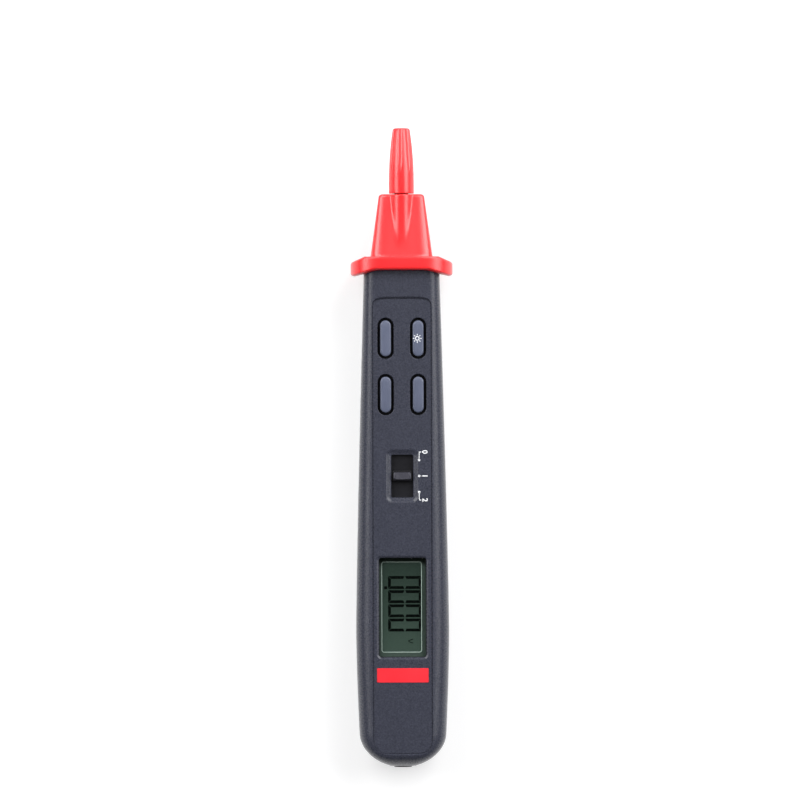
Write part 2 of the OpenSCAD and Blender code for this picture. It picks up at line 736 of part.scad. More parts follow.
// Chip resistors in two rows, and the two long high-voltage resistors beside the probe
resistor_size = [1.6, 3.2, 0.6];
resistor_place_share = 0.69;
resistor_pitch_share = 0.034;
resistor_s = on_board(resistor_place_share);
resistor_pitch = board_length * resistor_pitch_share;
resistor_row_count = 3;
divider_d = 2.4;
divider_length = 8;
divider_place_share = 0.884;
divider_s = on_board(divider_place_share);
lead_d = 0.6;
module board_resistors() {
    color("#2b2b2e") for (i = [0 : resistor_row_count - 1], x = [-2, -1, 1, 2])
        at(resistor_s + i * resistor_pitch, board_z - fit_gap / 2 - resistor_size[2],
           x * 1.5 * resistor_size[0])
            block(resistor_size[0], resistor_size[1], resistor_size[2]);
    color("#7fa6c8") for (x = [-1, 1]) at(divider_s, board_z - divider_d / 2 - fit_gap, x * divider_d * 1.2)
        translate([0, -divider_length / 2, 0]) rotate([-90, 0, 0]) {
            cylinder(h = divider_length, d = divider_d);
            translate([0, 0, -lead_d * 2]) cylinder(h = divider_length + lead_d * 4, d = lead_d);
        }
}

capacitor_d = 5;
capacitor_length = 6.4;
capacitor_place_share = 0.65;
capacitor_s = on_board(capacitor_place_share);
module board_capacitors() {
    color("#3a3f55") for (x = [-1, 1]) at(capacitor_s, board_z - fit_gap / 2, x * capacitor_d * 0.62)
        rotate([180, 0, 0]) {
            cylinder(h = capacitor_length * 0.12, d = capacitor_d);
            cylinder(h = capacitor_length * 0.2, d = capacitor_d * 0.9);
            translate([0, 0, capacitor_length * 0.16]) cylinder(h = capacitor_length * 0.84, d = capacitor_d);
        }
}

ptc_d = 7.6;
ptc_thick = 3.4;
ptc_place_share = 0.959;
ptc_s = on_board(ptc_place_share);
module ptc_thermistor() {
    color("#c9a227") at(ptc_s, board_z - fit_gap / 2 - ptc_d / 2) {
        rotate([-90, 0, 0]) translate([0, 0, -ptc_thick / 2]) cylinder(h = ptc_thick, d = ptc_d);
        for (x = [-1, 1]) translate([x * ptc_d / 4, 0, 0]) cylinder(h = ptc_d / 2, d = lead_d);
    }
}

trimmer_size = 6;
trimmer_thick = 3;
trimmer_place_share = 0.8;
trimmer_s = on_board(trimmer_place_share);
module trimmer() {
    color("#2a62b0") at(trimmer_s, board_z - fit_gap / 2 - trimmer_thick) difference() {
        union() {
            block(trimmer_size, trimmer_size * 0.9, trimmer_thick);
            translate([0, 0, -trimmer_thick * 0.2]) cylinder(h = trimmer_thick, d = trimmer_size * 0.6);
        }
        translate([0, 0, -trimmer_thick * 0.4])
            block(trimmer_size * 0.12, trimmer_size * 0.5, trimmer_thick * 0.4);
    }
}

disc_thick = 0.3;
module buzzer_disc() {
    color("#d9b45a") at(buzzer_s, buzzer_z + shaft_gap) {
        cylinder(h = disc_thick, d = buzzer_d);
        cylinder(h = 2 * disc_thick, d = buzzer_d * 0.66);
    }
}

// A snap dome on the board under each button
dome_d = 4.4;
dome_height = 0.5;
module key_domes() {
    color("gainsboro") for (s = button_rows, x = [-1, 1])
        at(s, board_top + fit_gap / 2, x * button_spread / 2) {
            cylinder(h = dome_height * 0.7, d1 = dome_d, d2 = dome_d * 0.8);
            cylinder(h = dome_height, d1 = dome_d * 0.9, d2 = dome_d * 0.45);
        }
}

// A push button: rounded cap, flange under the face and stem above its dome
button_proud = 0.75;
button_flange_share = 0.127;
button_flange = face_room * button_flange_share;
button_flange_lap = 0.5;
// Each pair: share of the height above the panel, share of the width rounded away there
button_shares = [[0.3, 0], [0.7, 0.1], [0.92, 0.24], [1, 0.3]];
stem_d = 3;
dome_gap = 0.1;
stadium_steps = 8;
function stadium(width, length) = [for (q = [0, 1]) for (i = [0 : stadium_steps])
    let (a = 180 * q + 180 * i / stadium_steps)
        [width / 2 * cos(a), (1 - 2 * q) * (length - width) / 2 + width / 2 * sin(a)]];
module button(row, side) {
    low = front_inner - run_gap - button_flange;
    stem_low = board_top + dome_height + dome_gap + fit_gap / 2 + button_travel;
    color("#5a6178") at(button_rows[row], 0, side * button_spread / 2) {
        loft(concat([ring_at(stadium(button_width, button_length), low + button_flange / 2)],
            [for (p = button_shares) ring_at(
                stadium(button_width * (1 - p[1]), button_length - button_width * p[1]),
                panel_z + button_proud * p[0])]), flip = true);
        translate([0, 0, low])
            plate(button_opening_width + 2 * button_flange_lap,
                  button_opening_length + 2 * button_flange_lap, button_flange, stem_d / 2);
        translate([0, 0, stem_low]) cylinder(h = low + button_flange / 2 - stem_low, d = stem_d);
    }
}
module select_button() {
    button(0, -1);
}
module light_button() {
    button(0, 1);
}
module hold_button() {
    button(1, -1);
}
module max_min_button() {
    button(1, 1);
}

// Range slider: a long plate under the slot, a ridged knob in it and a carriage above the board
slider_plate_share = 0.155;
slider_plate = face_room * slider_plate_share;
slider_lap = 1.2;
knob_width = slot_width - 6 * run_gap;
knob_length = slot_length - 2 * slider_travel - 2 * fit_gap;
ridge_width = 6.5;
ridge_length = 2.7;
ridge_proud = 0.6;
// Each pair: share of the ridge's rise above the panel, share of its width rounded away there
ridge_shares = [[0.4, 0.1], [0.85, 0.3], [1, 0.6]];
carriage = [7, 9];
wiper_share = 0.127;
wiper_thick = face_room * wiper_share;
wiper_width = 1.2;
slider_z = slider_pad_z - run_gap - slider_plate;

function ridge_outline(share) = rounded_outline(ridge_width - ridge_length * share,
    ridge_length * (1 - share), ridge_length * (1 - share) * 0.3);

module range_slider() {
    knob_top = panel_z - recess_depth * 0.5;
    color("#24242b") at(slot_from_tail, 0) {
        translate([0, 0, slider_z])
            plate(slot_width + 2 * slider_lap, slot_length + 2 * slider_travel + 2 * slider_lap / 2,
                  slider_plate, slot_corner);
        translate([0, 0, slider_z + slider_plate / 2])
            block(knob_width, knob_length, knob_top - slider_z - slider_plate / 2);
        loft(concat([ring_at(ridge_outline(0), knob_top - recess_depth / 2)],
            [for (p = ridge_shares) ring_at(ridge_outline(p[1]), panel_z + ridge_proud * p[0])]),
            flip = true);
        translate([0, 0, board_top + wiper_thick])
            block(carriage[0], carriage[1], slider_z + slider_plate / 2 - board_top - wiper_thick);
    }
}

module slider_wipers() {
    color("#d8b25c") for (x = [-1, 1])
        at(slot_from_tail, board_top + fit_gap, x * carriage[0] / 4)
            block(wiper_width, carriage[1] * 0.8, wiper_thick - 2 * fit_gap);
}

// Common socket at the tail: a sheathed socket whose contact takes a round plug
socket_rim = 0.9;
sheath_gap = 1.2;
sheath_wall = 0.85;
sheath_depth = 11;
contact_wall = 0.6;
socket_core = plug_d / 2 + contact_wall + shaft_gap;
contact_start = 1.4;
contact_tail = 0.4;
contact_end = socket_length + contact_tail;

module com_socket() {
    r = socket_d / 2;
    groove = r - sheath_wall;
    rim_steps = 6;
    color("#17171b") translate([0, y_at(0), com_z]) rotate([-90, 0, 0]) rotate_extrude() polygon(concat(
        [for (i = [0 : rim_steps]) let (a = 90 * i / rim_steps)
            [r - socket_rim + socket_rim * sin(a), socket_rim - socket_rim * cos(a)]],
        [[r, flange_s], [r + flange_lap, flange_s], [r + flange_lap, flange_s + flange_thick],
         [r, flange_s + flange_thick], [r, socket_length],
         [socket_core, socket_length], [socket_core, contact_start / 2],
         [groove - sheath_gap, contact_start / 2], [groove - sheath_gap, sheath_depth],
         [groove, sheath_depth], [groove, 0]]));
}

module com_contact() {
    outer = plug_d / 2 + contact_wall;
    bore_length = contact_end - contact_start - contact_wall;
    color("#d9b45a") difference() {
        rod(contact_start, contact_end, com_z, outer);
        rod(contact_start - over, contact_start + bore_length, com_z, plug_d / 2);
    }
}

// Strip from the contact's end up to the board's tail edge
strip_width = 3;
strip_thick = 0.4;
module com_strip() {
    color("#d9b45a") translate([0, y_at(0), 0]) rotate([90, 0, 90])
        translate([0, 0, -strip_width / 2]) linear_extrude(strip_width) polygon([
            [contact_end + shaft_gap, com_z - strip_width / 2],
            [contact_end + shaft_gap + strip_thick, com_z - strip_width / 2],
            [contact_end + shaft_gap + strip_thick, board_top + fit_gap / 2],
            [board_start + strip_width, board_top + fit_gap / 2],
            [board_start + strip_width, board_top + fit_gap / 2 + strip_thick],
            [contact_end + shaft_gap, board_top + fit_gap / 2 + strip_thick]
        ]);
}

// Probe: a pointed pin in an insulating sleeve that runs through the nose
sleeve_set = 2;
sleeve_start = body_length - spigot_length + sleeve_set;
sleeve_flange = 1.6;
sleeve_end = nose_s + collar_length;
pin_start = board_end + strip_thick + 2 * fit_gap;
cap_tip_wall = 2;
pin_tip_gap = 0.6;
pin_end = nose_s + cap_length - cap_tip_wall - pin_tip_gap;
pin_point = 3;

module probe_pin() {
    color("silver") {
        rod(pin_start, pin_end - pin_point, probe_z, pin_d / 2);
        translate([0, y_at(pin_end - pin_point), probe_z]) rotate([-90, 0, 0])
            cylinder(h = pin_point, d1 = pin_d, d2 = pin_d * 0.12);
    }
}

module probe_sleeve() {
    color("#1d1d20") difference() {
        union() {
            rod(sleeve_start, sleeve_end, probe_z, sleeve_d / 2);
            rod(body_length - spigot_length - sleeve_flange - fit_gap, body_length - spigot_length - fit_gap,
                probe_z, sleeve_d / 2 + spigot_wall / 2);
            rod(body_length - spigot_length - sleeve_flange, sleeve_start + over, probe_z, sleeve_d / 2);
        }
        rod(pin_start, sleeve_end + over, probe_z, pin_d / 2 + shaft_gap);
    }
}

module probe_strip() {
    color("#d9b45a") translate([0, y_at(0), 0]) rotate([90, 0, 90])
        translate([0, 0, -strip_width / 2]) linear_extrude(strip_width) polygon([
            [board_end - strip_width, board_top + fit_gap / 2],
            [board_end + fit_gap, board_top + fit_gap / 2],
            [board_end + fit_gap, probe_z - pin_d],
            [board_end + fit_gap + strip_thick, probe_z - pin_d],
            [board_end + fit_gap + strip_thick, board_top + fit_gap / 2 + strip_thick],
            [board_end - strip_width, board_top + fit_gap / 2 + strip_thick]
        ]);
}

// Sheath cap: a tapered tube with flutes that run out towards its mouth
cap_straight = 9;
cap_tip_round = 1.3;
flute_r = 0.9;
flute_depth = 0.28;
cap_start = nose_s + run_gap;
cap_end = nose_s + cap_length;

module probe_cap() {
    r = cap_d / 2;
    tip_r = cap_tip_d / 2;
    taper = cap_length - cap_straight;
    lean = atan((r - tip_r) / taper);
    tip_steps = 5;
    color("#ea2c30") difference() {
        translate([0, y_at(cap_start), probe_z]) rotate([-90, 0, 0]) rotate_extrude() polygon(concat(
            [[sleeve_d / 2 + shaft_gap, 0], [r - fit_gap, 0], [r, fit_gap], [r, cap_straight]],
            [for (i = [1 : 3]) let (t = i / 4)
                [r - (r - tip_r) * pow(t, 1.35), cap_straight + (taper - cap_tip_round) * t]],
            [for (i = [0 : tip_steps]) let (a = 90 * i / tip_steps)
                [tip_r - cap_tip_round + cap_tip_round * cos(a),
                 cap_end - cap_start - cap_tip_round + cap_tip_round * sin(a)]],
            [[0, cap_end - cap_start], [0, cap_end - cap_start - cap_tip_wall],
             [pin_d / 2 + 4 * fit_gap, cap_end - cap_start - cap_tip_wall],
             [pin_d / 2 + 4 * fit_gap, collar_length + 2 * run_gap],
             [sleeve_d / 2 + shaft_gap, collar_length + 2 * run_gap]]));
        translate([0, y_at(cap_start + cap_straight), probe_z]) for (i = [0 : flute_count - 1])
            rotate([0, 360 * i / flute_count, 0]) translate([0, 0, r + flute_r])
                rotate([-90 - lean * 1.12, 0, 0]) translate([0, 0, -over])
                    cylinder(h = taper * 1.3, r = flute_r + flute_depth / 2);
    }
}

// Battery pieces: each cell's nub faces the other cell's base
nub_length = 1;
nub_d = 3.8;
module cell(side) {
    start = side < 0 ? bay_from_tail + cell_stand : bay_end - cell_stand;
    color("#3f7f4a") translate([side * cell_pitch / 2, y_at(start), cell_z])
        rotate([side < 0 ? -90 : 90, 0, 0]) rotate_extrude() polygon([
            [0, 0], [nub_d / 2, 0], [nub_d / 2, nub_length], [cell_d / 2 - fit_gap, nub_length],
            [cell_d / 2, nub_length + fit_gap], [cell_d / 2, cell_length - fit_gap],
            [cell_d / 2 - fit_gap, cell_length], [0, cell_length]]);
}
module battery_left() {
    cell(-1);
}
module battery_right() {
    cell(1);
}

// Contact plate with a dimple for a nub, or a bare one behind a spring, and a solder tab
module contact_plate(side, dimpled) {
    plate_low = cell_z - cell_d * 0.4;
    translate([side * cell_pitch / 2, 0, 0]) {
        translate([-contact_width / 2, 0, plate_low])
            cube([contact_width, contact_thick, bay_top - fit_gap - plate_low]);
        translate([-tab_width / 2, 0, bay_top - 2 * fit_gap])
            cube([tab_width, contact_thick, board_top - bay_top + fit_gap]);
        if (dimpled) translate([0, contact_thick / 2, cell_z]) rotate([-90, 0, 0])
            cylinder(h = contact_thick / 2 + dimple, d1 = nub_d, d2 = nub_d * 0.6);
    }
}

module battery_terminals() {
    color("#c9ccd2") translate([0, y_at(bay_from_tail + shaft_gap), 0]) {
        contact_plate(-1, true);
        contact_plate(1, false);
    }
}

module battery_bridge() {
    color("#c9ccd2") translate([0, y_at(bay_end - shaft_gap), 0]) mirror([0, 1, 0]) {
        contact_plate(1, true);
        contact_plate(-1, false);
        translate([-cell_pitch / 2, 0, cell_z - contact_width / 4])
            cube([cell_pitch, contact_thick, contact_width / 2]);
    }
}

// A conical contact spring as one unbroken wire, from the contact plate to the cell's base
spring_base_r = 3.4;
spring_tip_r = 2;
spring_wire = 0.7;
spring_turns = 3;
spring_ring_steps = 14;
spring_sides = 6;
spring_run = spring_length - 2 * fit_gap - spring_wire;
function spring_point(i) = let (
    t = i / (spring_turns * spring_ring_steps),
    r = spring_base_r + (spring_tip_r - spring_base_r) * t,
    a = 360 * spring_turns * t)
    [r * cos(a), r * sin(a), spring_wire / 2 + spring_run * t];
function spring_ring(i) = let (
    p = spring_point(i), a = 360 * i / spring_ring_steps)
    [for (k = [0 : spring_sides - 1]) let (b = 360 * k / spring_sides, w = spring_wire / 2)
        [p[0] + w * cos(b) * cos(a), p[1] + w * cos(b) * sin(a), p[2] + w * sin(b)]];
module battery_springs() {
    color("silver") for (side = [-1, 1])
        translate([side * cell_pitch / 2, 0, cell_z])
            translate([0, side > 0 ? y_at(bay_from_tail + contact_thick + fit_gap)
                                   : y_at(bay_end - contact_thick - fit_gap), 0])
                rotate([side > 0 ? -90 : 90, 0, 0])
                    loft([for (i = [0 : spring_turns * spring_ring_steps]) spring_ring(i)]);
}

module cover_insert() {
    color("#d9b45a") at(cover_screw_s, cover_boss_top + 1.5 * fit_gap) difference() {
        cylinder(h = insert_length - fit_gap, d = insert_d);
        translate([0, 0, -over])
            cylinder(h = insert_length + 2 * over, r = screw_d / 2 + shaft_gap);
    }
}

// Battery cover: flush with the back, a rib between the cells and a boss round its screw
cover_rib = 1.4;
cover_rib_height = 1.6;
grip_count = 6;
grip_pitch = 2;
grip_depth = 0.4;
cover_screw_length = 7;
cover_seat_rise = 0.4;
cover_seat = cover_thick + cover_seat_rise;

module battery_cover() {
    color("#3b3a44") difference() {
        union() {
            linear_extrude(cover_thick) cover_outline(0);
            at((bay_from_tail + bay_end) / 2, cover_thick / 2)
                block(cover_rib, bay_length * 0.8, cover_thick / 2 + cover_rib_height);
            at(cover_screw_s, cover_thick / 2)
                cylinder(h = cover_boss_top - cover_thick / 2, d = cover_boss_d);
        }
        at(cover_screw_s, -over) {
            cylinder(h = over + cover_seat, d = screw_head_d + 2 * fit_gap);
            cylinder(h = cover_boss_top + 2 * over, r = screw_d / 2 + shaft_gap);
        }
        for (i = [0 : grip_count - 1]) at(cover_start + cover_corner + grip_pitch * (i + 1), -grip_depth)
            block(cover_width * 0.5, grip_pitch / 2, 2 * grip_depth);
    }
}

module battery_screw() {
    color("silver") at(cover_screw_s, cover_seat) screw(cover_screw_length);
}

front_case();
rear_case();
nose_guard();
case_screws();
label_patch();
lcd_window();
lcd_glass();
lcd_frame();
lcd_backlight();
backlight_led();
zebra_strips();
main_board();
meter_chip();
crystal();
board_resistors();
board_capacitors();
ptc_thermistor();
trimmer();
buzzer_disc();
key_domes();
com_socket();
com_contact();
com_strip();
probe_pin();
probe_sleeve();
probe_strip();
battery_left();
battery_right();
battery_springs();
battery_terminals();
battery_bridge();
cover_insert();
select_button();
light_button();
hold_button();
max_min_button();
range_slider();
slider_wipers();
probe_cap();
battery_cover();
battery_screw();
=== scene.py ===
from math import acos, copysign, cos, pi, radians, sin, sqrt

import bmesh
import bpy
import numpy as np
from mathutils import Matrix, Vector


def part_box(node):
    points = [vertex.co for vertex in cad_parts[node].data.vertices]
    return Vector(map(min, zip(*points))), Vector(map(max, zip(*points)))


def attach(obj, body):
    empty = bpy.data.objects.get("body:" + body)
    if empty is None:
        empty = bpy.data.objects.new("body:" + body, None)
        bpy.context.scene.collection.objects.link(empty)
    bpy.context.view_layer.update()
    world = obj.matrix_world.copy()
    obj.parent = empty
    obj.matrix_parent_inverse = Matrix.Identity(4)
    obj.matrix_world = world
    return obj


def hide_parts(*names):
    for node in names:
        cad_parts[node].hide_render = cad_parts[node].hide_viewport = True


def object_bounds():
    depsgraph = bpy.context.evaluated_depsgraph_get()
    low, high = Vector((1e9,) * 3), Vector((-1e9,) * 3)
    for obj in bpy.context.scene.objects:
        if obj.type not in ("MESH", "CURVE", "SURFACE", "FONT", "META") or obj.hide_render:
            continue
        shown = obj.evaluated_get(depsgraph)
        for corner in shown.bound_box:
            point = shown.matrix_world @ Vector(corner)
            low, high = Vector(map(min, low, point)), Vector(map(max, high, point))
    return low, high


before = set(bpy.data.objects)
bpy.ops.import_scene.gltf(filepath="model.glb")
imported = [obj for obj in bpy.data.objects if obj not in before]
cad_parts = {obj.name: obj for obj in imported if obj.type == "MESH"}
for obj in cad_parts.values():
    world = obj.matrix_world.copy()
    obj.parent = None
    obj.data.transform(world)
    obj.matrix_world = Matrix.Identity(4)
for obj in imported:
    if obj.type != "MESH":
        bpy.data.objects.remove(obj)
cad_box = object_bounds()

# The pen meter lies on its back: +Z leaves its display face and +Y points along its probe.
# Lengths are in mm, and s is a place along the body from its tail. MM turns mm into metres.
MM = 0.001
TOTAL_LENGTH = (cad_box[1].y - cad_box[0].y) / MM


def s_at(y):
    return y / MM + TOTAL_LENGTH / 2


def y_at(s):
    return s - TOTAL_LENGTH / 2


# Case shells, as in the solids: sizes, roundings and the lift behind the finger grip
BODY_LENGTH = s_at(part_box("front_case")[1].y)
BELLY_WIDTH = 33.8
BELLY_S = 50.0
NECK_WIDTH = 27.4
TAIL_WIDTH = 30.2
TAIL_ROUND = 12.0
TAIL_TIP = 0.4
TAIL_SLIM_POWER = 1.6
NECK_SLIM_POWER = 1.25
BODY_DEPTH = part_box("front_case")[1].z / MM
GRIP_RISE = 4.5
GRIP_START = 0.51 * BODY_LENGTH
GRIP_END = 0.8426 * BODY_LENGTH
BACK_FLAT_CUT = 1.2
BACK_EDGE = 0.35
SEAM_Z = 13.0
SEAM_GAP = 0.1
CASE_WALL = 1.8
PANEL_SIDE_DROP = 0.45
BACK_SQUARENESS = 4
FRONT_ROUND = TAIL_ROUND / 2
FRONT_ROUND_POWER = 2.5
BACK_ROUND = TAIL_ROUND * 7 / 6
SEAM_EDGE = 0.15
# How far a cutter runs on beyond its work, and how far a joined part runs in
OVER = 1.0
WELD = 0.2
# Gaps round pressed and sliding fits, and round heads and bosses
FIT_GAP = 0.05
LOOSE_GAP = 0.1

# Guard, nose and cap
GUARD_WIDTH = 37.0
GUARD_DEPTH = 29.0
GUARD_THICK = 4.9
GUARD_SQUARENESS = 3.4
GUARD_EDGE = 1.0
GUARD_REAR_INSET = 1.5
GUARD_FRONT_EDGE = 0.75
EAR_SWEEP = 2.2
FRONT_EAR = (13.4, GUARD_WIDTH / 2)
REAR_EAR = (9.8, 17.0)
NOSE_LENGTH = 22.7
NOSE_BASE = (22.5, 9.8)
NOSE_TOP = (16.3, 4.2)
NOSE_SQUARENESS = 4
NOSE_TIP_ROUND = 1.1
NOSE_FOOT = 0.3
NOSE_NEAR = 0.16
NOSE_FAR = 0.07
BARREL_D = 8.8
BARREL_EDGE = 0.45
BLEND_POWER = 20
RING_COUNT = 240
PROBE_Z = GUARD_DEPTH / 2
GUARD_S = BODY_LENGTH + GUARD_THICK
NOSE_S = GUARD_S + NOSE_LENGTH
SLEEVE_D = 5.0
PIN_D = 2.0
PIN_GAP = 0.4
CAP_START, CAP_END = (s_at(corner.y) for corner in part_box("probe_cap"))
CAP_D = 9.1
CAP_TIP_D = 6.1
CAP_TAPER_POWER = 2.5
CAP_TIP_ROUND = 0.9
FLUTE_COUNT = 8
FLUTE_TURN = radians(-5.5)
FLUTE_START = 8.2
FLUTE_R = 1.5
FLUTE_DEPTH = 0.36
FLUTE_RUN_IN = 0.45
CAP_MOUTH_ROUND = 0.3
CAP_TIP_WALL = 2.0
CAP_RING_COUNT = 320
SLEEVE_SEAT = 4.4

# Display face
PANEL_SINK = 0.7
PANEL_Z = BODY_DEPTH - PANEL_SINK
PANEL_WIDTH = 21.7
PANEL_FOOT_S = 4.8
PANEL_TOP_S = BODY_LENGTH - 10.2
PANEL_CORNER = 5.2
PANEL_TOP_CORNER = 2.0
PANEL_ARCH = 1.7
GROOVE_WIDTH = 0.36
GROOVE_DEPTH = 0.2
GROOVE_ROUND = 0.06
LCD_WIDTH = 17.2
LCD_LENGTH = 36.1
LCD_S = 58.0
LCD_CORNER = 1.0
VIEW_SIZE = (14.6, 32.9)
VIEW_X = -0.35
VIEW_S = LCD_S + 0.15
VIEW_EDGE = 0.2
LABEL_WIDTH = 18.7
LABEL_LENGTH = 5.2
LABEL_S = 33.4
LABEL_SINK = 0.15
SEAT_CORNER = 0.15
BUTTON_ROWS = (155.6, 135.2)
BUTTON_SPREAD = 11.8
OPENING_WIDTH = 5.8
OPENING_LENGTH = 14.9
BUTTON_GAP = 0.92
FLANGE_MARGIN = 0.5
FLANGE_THICK = 0.9
FLANGE_CORNER = 1.5
STEM_R = 1.5
KEY_SINK = 0.5
KEY_SHOULDER = 0.55
KEY_CROWN = 0.12
UNDER_GAP = 0.2
SLOT_WIDTH = 8.0
SLOT_LENGTH = 15.6
SLOT_S = 105.7
SLOT_CORNER = 0.6
SLOT = (SLOT_WIDTH, SLOT_LENGTH, SLOT_CORNER, SLOT_S)
RECESS_FLARE = 1.8
RECESS_DEPTH = 1.0
DISH_R = 9.6
DISH_DEPTH = 0.32
PAD_MARGIN = 2.6
PAD_THICK = 1.3
PLATE_THICK = 1.1
PLATE_MARGIN = 1.2
KNOB_SIZE = (6.8, 3.8)
GRIP_SIZE = (6.5, 2.7)
CARRIAGE_SIZE = (7.0, 4.5)
FRONT_INNER = BODY_DEPTH - CASE_WALL

# Edges as pairs: how much an outline grows, for the panel draws in, and the height above the panel
PANEL_WALL = [(0.0, 0.08), (-0.04, 0.18), (-0.14, 0.3), (-0.34, 0.5)]
MOUTH_EDGE = [(0.0, -0.3), (0.05, -0.14), (0.16, -0.03), (0.34, 0.03)]
RECESS_EDGE = [(-0.45, -0.22), (-0.2, -0.1), (0.05, -0.02), (0.3, 0.02)]
DISPLAY_EDGE = [(0.0, -0.5), (0.06, -0.4), (0.16, -0.34), (0.68, -0.06), (0.86, 0.02)]

# Prints on the face: the sun's radii and its rays' ends, the display's digits, marks and numbers
SUN_RING = (0.52, 0.8)
SUN_RAYS = (1.04, 1.6)
SUN_RAY_WIDTH = 0.25
SUN_SHIFT = 0.3
DIGIT_HEIGHT = 12.1
DIGIT_WIDTH = 4.65
DIGIT_PITCH = 5.14
DIGIT_BAR = 1.0
DIGIT_SPLIT = 0.3
DIGIT_END_GAP = 0.12
DIGIT_SIDE_GAP = 0.16
DIGIT_X = -5.25
DIGIT_Y = -46.6
DOT_X = -6.15
DOT_SHIFT = 0.45
DOT_HALF = 0.5
ARROW_TIP = (2.1, -70.2)
ARROW_HALF = ((0.0, 0.0), (1.7, 0.62), (1.7, 0.9), (-0.1, 0.2))
GLASS_DROP = 0.12
RANGE_STEP = 5.8
LEADER_RUN = 2.9
MARK_X = 6.15
MARK_LINE = 0.24
MARK_DOT_R = 0.42
MARK_TICK = 0.75
NUMBER_SHIFT = 2.0
NUMBER_HEIGHT = 2.7
NUMBER_WEIGHT = 0.04
SQUARE = ((-1, -1), (1, -1), (1, 1), (-1, 1))

# Back and tail: battery bay, cover, screws and socket
BAY_WIDTH = 22.2
BAY_START = 27.0
BAY_END = 76.7
BAY_TOP = 13.4
BAY_WALL = 1.4
BAY_FOOT = 0.5
BAY_ROOF = 1.2
BACK_WAY = 9.0
COVER_THICK = 1.6
COVER_WIDTH = 25.0
COVER_START = 24.4
COVER_END = 86.7
COVER_CORNER = 3.0
COVER_SCREW_S = 81.7
COVER_GAP = 0.1
COVER_BEVEL = 0.25
COVER_GROOVES = 6
COVER_GROOVE_PITCH = 2.0
COVER_GROOVE_R = 0.5
COVER_GROOVE_DROP = 0.1
RIB_WIDTH = 1.4
RIB_LENGTH = 39.8
LEDGE_SIDE = 0.5
LEDGE_END = 1.6
LEDGE_FOOT = 0.9
LEDGE_CORNER = 2.0
COVER_BOSS_D = 7.4
COVER_BOSS_TOP = 3.2
SCREW_HEAD_D = 4.6
SCREW_D = 2.6
SCREW_BOSS_R = 3.2
SCREW_BOSS_RISE = 1.35
SCREW_BOSS_GAP = 0.15
HEAD_SINK = 2.4
NECK_SCREW_STEP = 0.6
INSERT_R = 2.25
INSERT_FOOT = 3.3
INSERT_TOP = 8.3
# Edges round the screw heads as pairs: how much wider than the head, and the height above the back
WELL_EDGE = [(0.6, -OVER), (0.35, 0.0), (0.1, 0.3), (0.1, 4.0)]
COVER_HEAD_EDGE = [(0.5, -OVER), (0.3, 0.0), (0.1, 0.25), (0.1, 2.0)]
SOCKET_D = 10.6
SOCKET_LENGTH = 20.0
SHEATH_IN = 3.25
SHEATH_OUT = 4.45
SHEATH_DEPTH = 11.0
RIM_START = 0.45
RIM_LENGTH = 1.2
BORE_R = 2.0
COM_Z = 14.0

# Floor of the stage: its brightness, its own light, half its width and its height
FLOOR_WHITE = 0.55
FLOOR_GLOW = 0.54
FLOOR_HALF = 40000.0
FLOOR_Z = -0.02


def screw_places():
    """Places of the case screws in x and s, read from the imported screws."""
    low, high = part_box("case_screws")
    head_r = SCREW_HEAD_D / 2
    tail_x = high.x / MM - head_r
    return [(tail_x, s_at(low.y) + head_r), (tail_x - NECK_SCREW_STEP, s_at(high.y) - head_r)]


SCREWS = screw_places()


# Forms

# Angles of a quarter round, in eight steps
QUARTER = [pi / 2 * i / 8 for i in range(9)]


def full_turn(count):
    return [2 * pi * i / count for i in range(count)]


def tail_share(s, length, power):
    """Share of its full size that a section has at s, rounding off over a length at the tail."""
    if s >= length:
        return 1.0
    return max(0.0, 1 - ((length - s) / length) ** power) ** (1 / power)


def smooth_share(t):
    u = min(1.0, max(0.0, t))
    return u * u * (3 - 2 * u)


def half_width(s, inset):
    if s < BELLY_S:
        slim = (BELLY_WIDTH - TAIL_WIDTH) / 2 * ((BELLY_S - s) / BELLY_S) ** TAIL_SLIM_POWER
    else:
        share = (s - BELLY_S) / (BODY_LENGTH - BELLY_S)
        slim = (BELLY_WIDTH - NECK_WIDTH) / 2 * share ** NECK_SLIM_POWER
    return (BELLY_WIDTH / 2 - slim - inset) * tail_share(s - inset, TAIL_ROUND - inset, 2)


def front_height(s, inset):
    full = BODY_DEPTH - SEAM_Z - SEAM_GAP / 2 - inset
    return full * tail_share(s - inset, FRONT_ROUND - inset, FRONT_ROUND_POWER)


def back_floor(s):
    lift = smooth_share((s - GRIP_START) / (GRIP_END - GRIP_START))
    return -BACK_FLAT_CUT + (GRIP_RISE + BACK_FLAT_CUT) * lift


def back_depth(s, inset):
    full = SEAM_Z - SEAM_GAP / 2 - back_floor(s) - inset
    return full * tail_share(s - inset, BACK_ROUND - inset, 2)


def squircle(width, depth, squareness, angle):
    """Distance from the middle to a superellipse of full width and depth, in a direction."""
    a = (abs(cos(angle)) / (width / 2)) ** squareness
    b = (abs(sin(angle)) / (depth / 2)) ** squareness
    return (a + b) ** (-1 / squareness)


def rounded_max(value, floor, r):
    """The larger of the two, with the corner between them rounded over a height r."""
    if value >= floor + r:
        return value
    if value <= floor - r:
        return floor
    return floor + (value - floor + r) ** 2 / (4 * r)


def front_squareness(s):
    """The squareness at which the face has dropped a little where the panel's sides run."""
    width = half_width(max(s, BELLY_S), 0)
    height = front_height(BELLY_S, 0)
    low, high = 3.0, 12.0
    for _ in range(24):
        n = (low + high) / 2
        drop = height * (1 - (1 - (PANEL_WIDTH / 2 / width) ** n) ** (1 / n))
        low, high = (n, high) if drop > PANEL_SIDE_DROP else (low, n)
    return high


